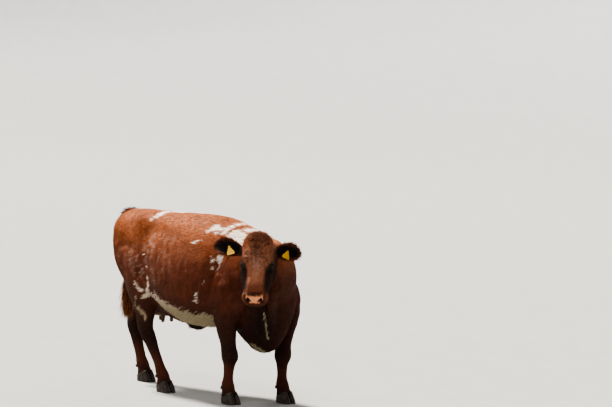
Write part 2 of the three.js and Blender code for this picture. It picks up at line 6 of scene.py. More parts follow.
import bmesh
import bpy
import numpy as np
from mathutils import Matrix, Vector


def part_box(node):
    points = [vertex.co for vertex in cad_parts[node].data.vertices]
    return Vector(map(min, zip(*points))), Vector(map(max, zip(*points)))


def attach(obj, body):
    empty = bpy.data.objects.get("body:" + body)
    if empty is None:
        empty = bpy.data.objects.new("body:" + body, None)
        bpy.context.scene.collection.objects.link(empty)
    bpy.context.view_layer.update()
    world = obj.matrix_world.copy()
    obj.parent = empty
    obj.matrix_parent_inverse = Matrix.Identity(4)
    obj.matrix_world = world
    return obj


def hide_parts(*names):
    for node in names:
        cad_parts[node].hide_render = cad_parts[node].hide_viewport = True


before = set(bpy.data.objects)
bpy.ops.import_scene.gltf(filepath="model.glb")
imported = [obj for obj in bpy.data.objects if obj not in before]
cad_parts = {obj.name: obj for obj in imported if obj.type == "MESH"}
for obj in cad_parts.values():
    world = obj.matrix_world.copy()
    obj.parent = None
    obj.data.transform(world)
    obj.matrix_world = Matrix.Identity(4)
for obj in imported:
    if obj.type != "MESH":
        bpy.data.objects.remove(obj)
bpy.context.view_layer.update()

dice = np.random.default_rng(11)
share = 1.0    # share of the coat's tufts while trying things


# small helpers

def unit(v):
    # v / |v| along the last axis
    return v / np.maximum(np.linalg.norm(v, axis=-1, keepdims=True), 1e-9)


def smooth(value, low, high):
    # 3t^2 - 2t^3 with t going from 0 at low to 1 at high
    t = np.clip((value - low) / (high - low), 0, 1)
    return t * t * (3 - 2 * t)


def bell(points, middle, reach):
    # exp(-(dx/rx)^2 - (dy/ry)^2 - (dz/rz)^2)
    return np.exp(-(((points - np.asarray(middle)) / np.asarray(reach)) ** 2).sum(-1))


noise = {"sines": 4, "finer": 1.9, "weaker": 0.55, "bend": 0.8, "twist": 1.4}


def waves(points, size, seed, octaves=3):
    # a sum of sines along fixed random directions, about -1 to 1; each octave weaker and finer than the last
    draw = np.random.default_rng(seed)
    total, weight = 0, 0
    for octave in range(octaves):
        finer, weaker = noise["finer"] ** octave, noise["weaker"] ** octave
        for _ in range(noise["sines"]):
            way = unit(draw.normal(size=3)) * (2 * math.pi / size) * finer
            bend = unit(draw.normal(size=3)) * (2 * math.pi / size) * noise["bend"] * finer
            twist = noise["twist"] * np.sin(points @ bend + draw.uniform(0, 6.3))
            total = total + np.sin(points @ way + twist + draw.uniform(0, 6.3)) * weaker
        weight += noise["sines"] * weaker
    return total / weight * 2


# where the head is: mm about the cow's middle, and degrees

headPlace = {"x": 797, "y": -378, "z": 1286, "yaw": -56, "pitch": 24, "roll": -1.8}
eyePlace = {"along": 226, "out": 98, "height": -53, "radius": 20}


def headAxes(place):
    # columns: down the face, to the cow's left, out of the forehead, then rolled about the way ahead
    yaw, pitch, roll = (math.radians(place[k]) for k in ("yaw", "pitch", "roll"))
    ahead = np.array([math.cos(yaw), math.sin(yaw), 0])
    down = ahead * math.sin(pitch) - np.array([0, 0, math.cos(pitch)])
    left = np.array([-math.sin(yaw), math.cos(yaw), 0])
    tip = np.array(Matrix.Rotation(-roll, 3, Vector(ahead)))
    return tip @ np.stack([down, left, np.cross(down, left)], 1)


def sideName(side):
    # the word for 1 and for -1
    return "left" if side > 0 else "right"


headTurn = headAxes(headPlace)
headMiddle = np.array([headPlace["x"], headPlace["y"], headPlace["z"]], float)


def fromHead(points):
    # turn @ point + middle, from the head's own millimetres to the cow's
    return np.asarray(points, float) @ headTurn.T + headMiddle


def toHead(points):
    # the way back: turned^-1 @ (point - middle)
    return (points - headMiddle) @ headTurn


def eyeMiddle(side):
    # the ball's middle in the head's frame, side -1 for the right eye and 1 for the left
    return np.array([eyePlace["along"], side * eyePlace["out"], eyePlace["height"]], float)


def eyeShift(side, node):
    # the frame's eye less the cow's own, in millimetres
    low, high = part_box(node)
    return np.array((low + high) / 2) * 1000 - fromHead(eyeMiddle(side))


cowShift = (eyeShift(-1, "eye_right") + eyeShift(1, "eye_left")) / 2


def toFrame(points):
    # the cow's own millimetres to the frame's metres
    return (np.asarray(points) + cowShift) * 0.001


# meshes from arrays

def meshOf(name, points, *faceArrays):
    # points (n, 3) in the cow's millimetres, each face array (k, 3) or (k, 4)
    faceArrays = [np.asarray(faces, np.int32) for faces in faceArrays if len(faces)]
    corners = np.concatenate([faces.ravel() for faces in faceArrays])
    sizes = np.concatenate([np.full(len(faces), faces.shape[1]) for faces in faceArrays])
    mesh = bpy.data.meshes.new(name)
    mesh.vertices.add(len(points))
    mesh.vertices.foreach_set("co", toFrame(points).astype(np.float32).ravel())
    mesh.loops.add(len(corners))
    mesh.loops.foreach_set("vertex_index", corners)
    mesh.polygons.add(len(sizes))
    mesh.polygons.foreach_set("loop_start", np.concatenate([[0], np.cumsum(sizes)[:-1]]))
    mesh.update(calc_edges=True)
    mesh.shade_smooth()
    return mesh


def pieceOf(mesh, material, slot, *nodes):
    # an object that rides on the root body and stands for the given nodes
    piece = placed(mesh.name, mesh)
    if material:
        mesh.materials.append(material)
        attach(piece, "root")
    if nodes:
        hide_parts(*nodes)
    return piece


def readArray(items, key, width=1, kind=float):
    # the key of every item at once, one row for each item
    values = np.empty(len(items) * width, kind)
    items.foreach_get(key, values)
    return values.reshape(-1, width) if width > 1 else values


def toCow(points):
    # the frame's metres back to the cow's millimetres
    return points * 1000 - cowShift


def pointsOf(mesh):
    # a mesh's points in the cow's millimetres
    return toCow(readArray(mesh.vertices, "co", 3))


def placed(name, data):
    # a new object in the scene
    thing = bpy.data.objects.new(name, data)
    bpy.context.scene.collection.objects.link(thing)
    return thing


def tubeFaces(rings, around, start=0):
    # quads between rings of a closed tube, then a fan at each end to a middle point that follows the rings
    i, j = np.meshgrid(np.arange(rings - 1), np.arange(around), indexing="ij")
    a, b = i * around + j, i * around + (j + 1) % around
    quads = np.stack([a, b, b + around, a + around], -1).reshape(-1, 4)
    j = np.arange(around)
    first, last = rings * around, rings * around + 1
    end = (rings - 1) * around
    caps = np.concatenate([
        np.stack([np.full(around, first), (j + 1) % around, j], -1),
        np.stack([np.full(around, last), end + j, end + (j + 1) % around], -1)])
    return quads + start, caps + start


def closedTube(grid):
    # grid (rings, around, 3) with the two middle points of its ends; faces turned to point outwards
    rings, around = grid.shape[:2]
    points = np.concatenate([grid.reshape(-1, 3), grid[0].mean(0)[None], grid[-1].mean(0)[None]])
    quads, caps = tubeFaces(rings, around)
    a, b, c, d = (points[quads[:, k]] for k in range(4))
    middle = points.mean(0)
    volume = (np.cross(b - a, c - a) * (a - middle)).sum() + (np.cross(c - a, d - a) * (a - middle)).sum()
    if volume < 0:
        quads, caps = quads[:, ::-1], caps[:, ::-1]
    return points, quads, caps


def joinParts(parts):
    # several (points, quads, triangles) as one
    points, quads, triangles, count = [], [], [], 0
    for partPoints, partQuads, partTriangles in parts:
        points.append(partPoints)
        quads.append(np.asarray(partQuads).reshape(-1, 4) + count)
        triangles.append(np.asarray(partTriangles).reshape(-1, 3) + count)
        count += len(partPoints)
    return np.concatenate(points), np.concatenate(quads), np.concatenate(triangles)


# stations carried into surfaces

def stationsAt(rows, place):
    # every column is one cubic through its rows (Hermite, slopes from the neighbours), spaced by column 0
    rows = np.asarray(rows, float)
    last = len(rows) - 1
    i = np.clip(np.floor(place).astype(int), 0, last - 1)
    before, start, stop, after = (rows[np.clip(i + k, 0, last)] for k in (-1, 0, 1, 2))
    u = (place - i)[:, None]
    span = (stop - start)[:, :1]
    leaving = span * (stop - before) / (stop - before)[:, :1]
    arriving = span * (after - start) / (after - start)[:, :1]
    made = start + u * (leaving + u * (3 * (stop - start) - 2 * leaving - arriving
                                       + u * (2 * (start - stop) + leaving + arriving)))
    made[:, 0] = start[:, 0] + span[:, 0] * u[:, 0]
    return made


def stationsAtValue(rows, value):
    # the same curve read at a value of column 0, which may fall or rise
    rows = np.asarray(rows, float)
    way = np.sign(rows[-1, 0] - rows[0, 0])
    return stationsAt(rows, np.interp(way * np.asarray(value), way * rows[:, 0], np.arange(len(rows))))


def sweep(stations, sectionOf, rings, around, lumps=()):
    # point(s, a) = centre + u * cos(a)^(2/k) * reach + v * sin(a)^(2/k) * reach, k the squareness,
    # then pushed from the centre by every lump's height * exp(-(distance / reach)^2)
    rows = stationsAt(stations, np.linspace(0, len(stations) - 1, rings))
    centre, u, v, right, left, up, down, squareUp, squareDown = sectionOf(rows)
    angle = np.linspace(0, 2 * math.pi, around, endpoint=False)
    c, s = np.cos(angle)[None], np.sin(angle)[None]
    squareUp, squareDown = (np.broadcast_to(square, rings)[:, None] for square in (squareUp, squareDown))
    square = np.where(s > 0, squareUp, squareDown)
    across = np.sign(c) * np.abs(c) ** (2 / square)
    above = np.sign(s) * np.abs(s) ** (2 / square)
    across = across * np.where(across > 0, right[:, None], left[:, None])
    above = above * np.where(above > 0, up[:, None], down[:, None])
    points = centre[:, None] + u[:, None] * across[..., None] + v[:, None] * above[..., None]
    outwards = unit(points - centre[:, None])
    for at, reach, height in lumps:
        points = points + outwards * height * bell(points, at, reach)[..., None]
    return points


def bothSides(lumps):
    # each lump at y and at -y
    return [((x, side * y, z), reach, height) for (x, y, z), reach, height in lumps for side in (-1, 1)]


def upright(yaw):
    # sections that stand upright across a path that turns by yaw degrees
    turn = np.radians(yaw)
    u = np.stack([np.sin(turn), -np.cos(turn), 0 * turn], -1)
    return u, np.broadcast_to([0.0, 0, 1], u.shape)


# trunk, brisket, dewlap

trunk = {
    # [x, y, yaw, top, widest height, bottom, half width, squareness above, below]
    "torso": [
        [-828, 0, 0, 1190, 1110, 1020, 70, 2, 2],
        [-808, 0, 0, 1266, 1115, 920, 140, 2.1, 2],
        [-750, 0, 0, 1324, 1112, 800, 208, 2.2, 2],
        [-640, 0, 0, 1344, 1105, 695, 250, 2.3, 2],
        [-455, 0, 0, 1347, 1095, 605, 280, 2.5, 1.9],
        [-320, 0, 0, 1348, 1020, 562, 308, 2.3, 2],
        [-150, 0, 0, 1354, 920, 526, 355, 2.1, 2.1],
        [50, 0, 0, 1359, 875, 514, 374, 2, 2.2],
        [220, 0, 0, 1350, 872, 520, 356, 1.9, 2.1],
        [370, 0, 0, 1316, 885, 540, 312, 1.8, 2],
        [480, 0, -2, 1274, 905, 565, 276, 1.75, 2],
        [595, -12, -12, 1243, 925, 605, 242, 1.75, 2],
        [690, -48, -28, 1226, 945, 640, 198, 1.8, 1.9],
        [755, -112, -42, 1212, 980, 715, 150, 1.8, 1.8],
        [797, -188, -50, 1216, 1020, 800, 114, 1.9, 1.8],
        [822, -254, -53, 1224, 1050, 885, 98, 2, 2],
        [845, -312, -53, 1206, 1070, 950, 74, 2, 2]],
    "lumps": [
        ((-455, 268, 1270), 85, 26),    # hook bones
        ((-786, 118, 1190), 60, 18),    # pin bones
        ((-300, 285, 1195), 105, -24),  # hollows of the flank
        ((330, 300, 1040), 130, -12),   # behind the shoulder blades
        ((-120, 360, 780), 260, 14)],   # the full belly
    # [x, top, widest height, bottom, half width]
    "brisket": [
        [290, 760, 690, 560, 60], [350, 940, 700, 520, 130], [450, 1060, 720, 446, 180],
        [560, 1110, 750, 388, 206], [670, 1100, 770, 392, 204], [750, 1050, 800, 462, 172],
        [800, 985, 820, 572, 126], [828, 900, 830, 700, 64]],
    "navel": [
        [-160, 560, 538, 520, 10], [-105, 560, 514, 486, 20], [-45, 560, 508, 474, 24],
        [5, 560, 510, 480, 20], [60, 560, 526, 502, 10]],
    # [distance, x, y, top, bottom, half thickness]
    "dewlap": [
        [0, 600, -10, 700, 402, 60], [110, 705, -46, 800, 446, 58], [200, 765, -108, 880, 552, 46],
        [290, 808, -188, 960, 690, 34], [350, 838, -250, 990, 800, 24]],
}


def torsoSection(rows):
    # upright sections, turned by yaw: from widest up to top, down to bottom, half width to each side
    x, y, yaw, top, widest, bottom, halfWidth, squareUp, squareDown = rows.T
    u, v = upright(yaw)
    centre = np.stack([x, y, widest], -1)
    return centre, u, v, halfWidth, halfWidth, top - widest, widest - bottom, squareUp, squareDown


def brisketSection(rows):
    # the torso's sections on the middle line, fuller above than below
    x, top, widest, bottom, halfWidth = rows.T
    none = 0 * x
    return torsoSection(np.stack([x, none, none, top, widest, bottom, halfWidth, none + 2, none + 1.7], -1))


def dewlapSection(rows):
    # the torso's sections along the neck's turn, yaw = -10 - 42 * distance / 350
    distance, x, y, top, bottom, halfThickness = rows.T
    yaw = -10 - 42 * distance / 350
    none = 0 * x
    middle = (top + bottom) / 2
    return torsoSection(np.stack([x, y, yaw, top, middle, bottom, halfThickness, none + 2, none + 1.8], -1))


# legs

legs = {
    "lines": {    # [height, x, distance out to its side]
        "fore_right": [[1235, 430, 130], [1080, 470, 150], [960, 484, 176], [840, 478, 202], [690, 440, 206],
                       [600, 416, 206], [520, 424, 206], [350, 462, 204], [240, 462, 202], [140, 462, 202],
                       [58, 480, 204]],
        "fore_left": [[1235, 430, 130], [1080, 480, 156], [960, 512, 192], [840, 550, 226], [690, 584, 250],
                      [600, 598, 255], [520, 602, 248], [350, 608, 235], [240, 614, 234], [140, 622, 238],
                      [58, 640, 242]],
        "hind_right": [[1225, -585, 130], [1080, -592, 158], [920, -534, 180], [765, -440, 192],
                       [600, -395, 192], [480, -385, 188], [400, -355, 184], [290, -290, 178],
                       [140, -208, 170], [58, -184, 168]],
        "hind_left": [[1225, -585, 130], [1080, -596, 158], [920, -584, 176], [765, -600, 178],
                      [600, -694, 172], [480, -790, 166], [400, -800, 164], [290, -764, 164],
                      [140, -704, 166], [58, -676, 168]],
    },
    "fore": [    # [height, forward, back, out, in, squareness]
        [1235, 45, 55, 4, 60, 2], [1180, 90, 100, 32, 90, 2], [1080, 145, 138, 82, 100, 2],
        [960, 190, 162, 98, 120, 2.1], [860, 205, 165, 102, 120, 2.1], [770, 180, 150, 98, 110, 2],
        [690, 146, 136, 92, 90, 2], [610, 108, 110, 82, 72, 2], [520, 80, 88, 68, 60, 2],
        [425, 62, 68, 58, 52, 2], [380, 64, 64, 61, 57, 2.3], [335, 62, 62, 59, 56, 2.4],
        [280, 44, 48, 42, 39, 2.1], [190, 37, 43, 38, 36, 2], [140, 46, 53, 51, 48, 2.1],
        [100, 48, 50, 52, 50, 2.1], [58, 56, 54, 56, 55, 2.4]],
    "hind": [
        [1225, 60, 60, 24, 60, 2], [1170, 130, 112, 60, 90, 2], [1080, 185, 150, 96, 112, 2.1],
        [960, 210, 182, 116, 126, 2.1], [860, 200, 180, 116, 118, 2.1], [765, 170, 176, 104, 106, 2],
        [685, 132, 148, 88, 84, 2], [608, 102, 118, 72, 62, 2], [530, 78, 96, 56, 50, 1.9],
        [472, 68, 90, 54, 49, 1.8], [430, 68, 77, 55, 51, 2], [380, 63, 60, 52, 49, 2.2],
        [320, 52, 51, 43, 39, 2.1], [200, 44, 45, 38, 36, 2], [144, 52, 54, 48, 46, 2.1],
        [100, 52, 46, 50, 48, 2.1], [58, 56, 54, 55, 54, 2.4]],
    "turnIn": {"fore": 0.32, "hind": -0.22},
    "coronetSlope": 0.32, "coronet": 58, "pasternTop": 145,
}


def footSlope(height):
    # the sections tip up to the front, more the nearer they are to the hoof
    share = (legs["pasternTop"] - height) / (legs["pasternTop"] - legs["coronet"])
    return legs["coronetSlope"] * np.clip(share, 0, 1)


def eachLeg():
    # name, fore or hind, -1 for the cow's right or 1 for its left, and the line that its sections follow
    for name, line in legs["lines"].items():
        kind, ending = name.split("_")
        yield name, kind, 1 if ending == "left" else -1, line


def legSection(line, side, turnIn):
    # level sections about the leg's line, turned in by turnIn and tipped by the foot's slope
    def section(rows):
        height, front, back, out, inside, square = rows.T
        _, x, y = stationsAtValue(line, height).T
        none = 0 * x
        u = np.stack([none + 1, -side * turnIn * smooth(height, 600, 900), footSlope(height)], -1)
        v = np.broadcast_to([0.0, side, 0], u.shape)
        return np.stack([x, side * y, height], -1), u, v, front, back, out, inside, square, square
    return section


# head

head = {
    # [distance below the poll, brow, widest height, jaw, half width, squareness above, below]
    "stations": [
        [-36, -52, -74, -100, 30, 2, 2], [-24, -22, -72, -140, 56, 2, 2], [2, -4, -74, -186, 80, 2.1, 2],
        [43, 4, -76, -226, 106, 2.3, 2], [99, 6, -70, -256, 119, 2.5, 1.9],
        [165, 5, -62, -270, 122, 2.6, 1.8], [224, 0, -66, -268, 120, 2.3, 1.8],
        [268, -4, -92, -248, 118, 2, 1.8], [310, -4, -98, -222, 115, 1.9, 1.8],
        [357, -4, -92, -192, 108, 2, 1.9], [404, -5, -84, -168, 99, 2.2, 2],
        [440, -9, -82, -156, 95, 2.4, 2.1], [468, -20, -84, -150, 91, 2.6, 2.1],
        [490, -40, -90, -144, 84, 2.5, 2.1], [508, -66, -96, -134, 66, 2.3, 2],
        [517, -88, -104, -120, 42, 2, 2]],
    "lumps": [
        ((206, 98, -10), 36, 10),    # brow over the eye
        ((230, 122, -56), 32, -16),   # hollow that the eye sits in
        ((226, 98, -180), 80, 12),    # cheek muscle
        ((292, 66, -16), 55, -8),    # hollow beside the nose
        ((384, 98, -80), 40, -4),    # hollow above the lips
        ((470, 66, -42), 28, 9),    # wing of the nostril
        ((28, 40, 6), 60, 8),    # curled hair on the poll
        ((22, 66, -18), 42, 11)],    # its corners
}


def headSection(rows):
    # sections across the face: brow above the widest height, jaw below it, half width to each side
    distance, brow, widest, jaw, halfWidth, squareUp, squareDown = rows.T
    none = 0 * distance
    centre = np.stack([distance, none, widest], -1)
    u = np.broadcast_to([0.0, -1, 0], centre.shape)
    v = np.broadcast_to([0.0, 0, 1], centre.shape)
    return centre, u, v, halfWidth, halfWidth, brow - widest, widest - jaw, squareUp, squareDown


ear = {
    # [share of the length, half width, half thickness]
    "stations": [[0, 36, 26], [0.12, 42, 22], [0.3, 60, 13], [0.5, 70, 10], [0.7, 68, 9], [0.86, 52, 8],
                 [0.96, 30, 6], [1, 12, 4]],
    "length": 236, "root": (112, 94, -92), "rise": 12, "cup": 26, "curlFrom": 66,
    "sweep": {-1: 2, 1: 26},
    "inset": 7,    # how far the hair stands out from the leaf's skin
}


def earAxes(side):
    # out along the midrib, across the leaf, and the way the opening faces, in the head's frame
    rise, back = math.radians(ear["rise"]), math.radians(ear["sweep"][side])
    out = unit(np.array([-math.sin(rise), side * math.cos(rise) * math.cos(back), -math.sin(back)]))
    across = unit(np.array([1.0, 0, 0]) - out * out[0])
    facing = np.cross(across, out) * side
    x, y, z = ear["root"]
    return out, across, facing, np.array([x, side * y, z], float)


def earSurface(side, inset=0.0, rings=56, around=56):
    # leaf sections along the midrib, thinned by the inset, their edges curled forward by the square of the
    # distance from the midrib, and the front face hollowed
    out, across, facing, root = earAxes(side)

    def section(rows):
        along, halfWidth, halfThickness = rows.T
        centre = root + out * (along * ear["length"] - inset * smooth(along, 0.8, 1))[:, None]
        u = np.broadcast_to(across, centre.shape)
        v = np.broadcast_to(facing, centre.shape)
        wide = np.maximum(halfWidth - inset, 3)
        thick = np.maximum(halfThickness - inset, 3.0)
        two = 2 + 0 * along
        return centre, u, v, wide, wide, thick, thick, two, two

    points = sweep(ear["stations"], section, rings, around)
    local = points - root
    acrossEar, alongEar = local @ across, local @ out / ear["length"]
    curl = ear["cup"] * (acrossEar / ear["curlFrom"]) ** 2 * smooth(alongEar, 0.05, 0.4)
    return points + facing * curl[..., None]


# tail and udder

tail = {
    # [distance, x, y, height, half width, half depth]
    "dock": [
        [0, -690, 0, 1296, 40, 24], [80, -768, -2, 1308, 38, 28], [140, -828, -8, 1276, 30, 27],
        [230, -860, -18, 1200, 23, 23], [380, -862, -12, 1050, 19, 19], [530, -820, 4, 905, 17, 17],
        [640, -786, 20, 798, 16, 16], [720, -764, 26, 720, 14, 14]],
    "skinShare": 0.8,    # width of the skin over the width with its hair
}


def tailSection(stations, shrink):
    # round sections across the path, whose direction is the difference of two points on it
    def section(rows):
        distance, x, y, z, halfWidth, halfDepth = rows.T
        before, after = (stationsAtValue(stations, distance + step)[:, 1:4] for step in (-5, 5))
        along = unit(after - before)
        behind = unit(np.cross([0.0, 1, 0], along))
        u = -np.cross(along, behind)
        wide, deep = halfWidth * shrink, halfDepth * shrink
        two = 2 + 0 * distance
        return np.stack([x, y, z], -1), u, behind, wide, wide, deep, deep, two, two
    return section


udder = {
    # [height, x, half length, half width]
    "stations": [[790, -430, 120, 70], [710, -430, 165, 90], [645, -424, 172, 95], [592, -412, 150, 90],
                 [558, -402, 108, 70], [544, -398, 54, 36]],
    "teat": {"length": 66, "top": 17, "tip": 11, "height": 570, "x": -398, "ahead": 60, "behind": -50,
             "out": 45, "sunk": 14, "lean": 6},
}


def udderSection(rows):
    # level sections round the bag
    height, x, halfLength, halfWidth = rows.T
    none = 0 * x
    centre = np.stack([x, none, height], -1)
    u = np.broadcast_to([1.0, 0, 0], centre.shape)
    v = np.broadcast_to([0.0, 1, 0], centre.shape)
    return centre, u, v, halfLength, halfLength, halfWidth, halfWidth, none + 2, none + 2


def teatSurface(x, y):
    # radius(t) narrows from the bag to a rounded end, with faint rings
    form = udder["teat"]
    t = np.linspace(0, 1, 22)
    drop = form["height"] + form["sunk"] - (form["length"] + form["sunk"]) * np.minimum(t * 1.05, 1)
    radius = form["top"] + (form["tip"] - form["top"]) * t + 1.2 * np.sin(t * 9)
    radius = radius * np.sqrt(np.clip(1 - ((t - 0.86) / 0.14).clip(0, 1) ** 2, 0.03, 1))
    angle = np.linspace(0, 2 * math.pi, 24, endpoint=False)
    lean = (t * t * form["lean"] * np.sign(y))[:, None]
    return np.stack([x + radius[:, None] * np.cos(angle), y + lean + radius[:, None] * np.sin(angle),
                     drop[:, None] + 0 * angle], -1)


# the skin: one union of all the flesh, smoothed where it joins, then given its relief

skin = {
    "voxel": 12.1,    # mm, edge of the union's cells
    "depth": 7.0,    # how deep the skin lies under the coat's tips on the body
    "headDepth": 4.0, "footDepth": 1.5, "legDepth": 3.2, "udderDepth": 1.5,
    "blend": 16,    # rounds of smoothing over the body's joins
    "headBlend": 5,    # and over the head, after its faces are cut finer
}


def bodySurfaces():
    # a closed tube for each part of the flesh: trunk, brisket, dewlap, navel, head, udder, four legs
    parts = [
        closedTube(sweep(trunk["torso"], torsoSection, 140, 100, bothSides(trunk["lumps"]))),
        closedTube(sweep(trunk["brisket"], brisketSection, 70, 70)),
        closedTube(sweep(trunk["dewlap"], dewlapSection, 60, 48)),
        closedTube(sweep(trunk["navel"], brisketSection, 36, 32)),
        closedTube(fromHead(sweep(head["stations"], headSection, 120, 96, bothSides(head["lumps"])))),
        closedTube(sweep(udder["stations"], udderSection, 50, 48)),
    ]
    for _, kind, side, line in eachLeg():
        section = legSection(line, side, legs["turnIn"][kind])
        parts.append(closedTube(sweep(legs[kind], section, 140, 56)))
    return parts


def unionOf(parts, voxel):
    # the outer surface of all the parts together, on cells of one size
    points, quads, triangles = joinParts(parts)
    piece = pieceOf(meshOf("union", points, quads, triangles), None, None)
    cells = piece.modifiers.new("cells", "REMESH")
    cells.mode, cells.voxel_size, cells.adaptivity = "VOXEL", voxel * 0.001, 0
    made = bpy.data.meshes.new_from_object(piece.evaluated_get(bpy.context.evaluated_depsgraph_get()))
    bpy.data.objects.remove(piece)
    return made


def edgesOf(mesh):
    # the two points of every edge
    return readArray(mesh.edges, "vertices", 2, np.int32)


def relax(points, edges, rounds, strength=1.0):
    # each point moves to the mean of its neighbours by 0.5, then back by 0.52, which keeps the form's size
    count = len(points)
    degree = np.maximum(np.bincount(edges.ravel(), minlength=count), 1)[:, None]
    for turn in range(rounds * 2):
        total = np.stack([np.bincount(edges[:, 0], points[edges[:, 1], k], count)
                          + np.bincount(edges[:, 1], points[edges[:, 0], k], count) for k in range(3)], -1)
        points = points + (total / degree - points) * strength * (0.5 if turn % 2 == 0 else -0.52)
    return points


def refine(mesh, chosen):
    # cuts the chosen faces in four; chosen(points in the cow's millimetres) is true for the faces to cut
    inside = chosen(toCow(readArray(mesh.polygons, "center", 3)))
    shell = bmesh.new()
    shell.from_mesh(mesh)
    shell.faces.ensure_lookup_table()
    edges = {edge for index in np.nonzero(inside)[0] for edge in shell.faces[index].edges}
    bmesh.ops.subdivide_edges(shell, edges=list(edges), cuts=1, use_grid_fill=True)
    shell.to_mesh(mesh)
    shell.free()


def isHead(points):
    # in the block round the head, in the head's frame
    x, y, z = toHead(points).T
    return (x > -60) & (np.abs(y) < 170) & (z > -300) & (z < 60) & (x < 560)


def headness(points):
    # 1 within the head's own outline, fading to 0 a little outside it and behind the poll
    x, y, z = toHead(points).T
    row = stationsAtValue(head["stations"], np.clip(x, -30, 515))
    _, brow, widest, jaw, halfWidth = row.T[:5]
    tall = np.where(z > widest, brow - widest + 25, widest - jaw)
    reach = np.hypot(y / halfWidth, (z - widest) / tall)
    return smooth(x, -50, 10) * (1 - smooth(reach, 1.14, 1.34)) * isHead(points)


def isFineFace(points):
    # round the eyes and on the muzzle
    local = toHead(points)
    x, y, z = local.T
    nearEye = np.minimum(*(np.linalg.norm(local - eyeMiddle(side), axis=1) for side in (-1, 1))) < 48
    return nearEye | ((x > 425) & (np.abs(y) < 130) & (z > -190) & (z < 40))


def ridge(points, start, stop, reach, height):
    # height * exp(-(distance to the segment / reach)^2)
    start, stop = np.asarray(start, float), np.asarray(stop, float)
    way = stop - start
    t = np.clip((points - start) @ way / (way @ way), 0, 1)
    gap = np.linalg.norm(points - start - t[:, None] * way, axis=1)
    return height * np.exp(-(gap / reach) ** 2)


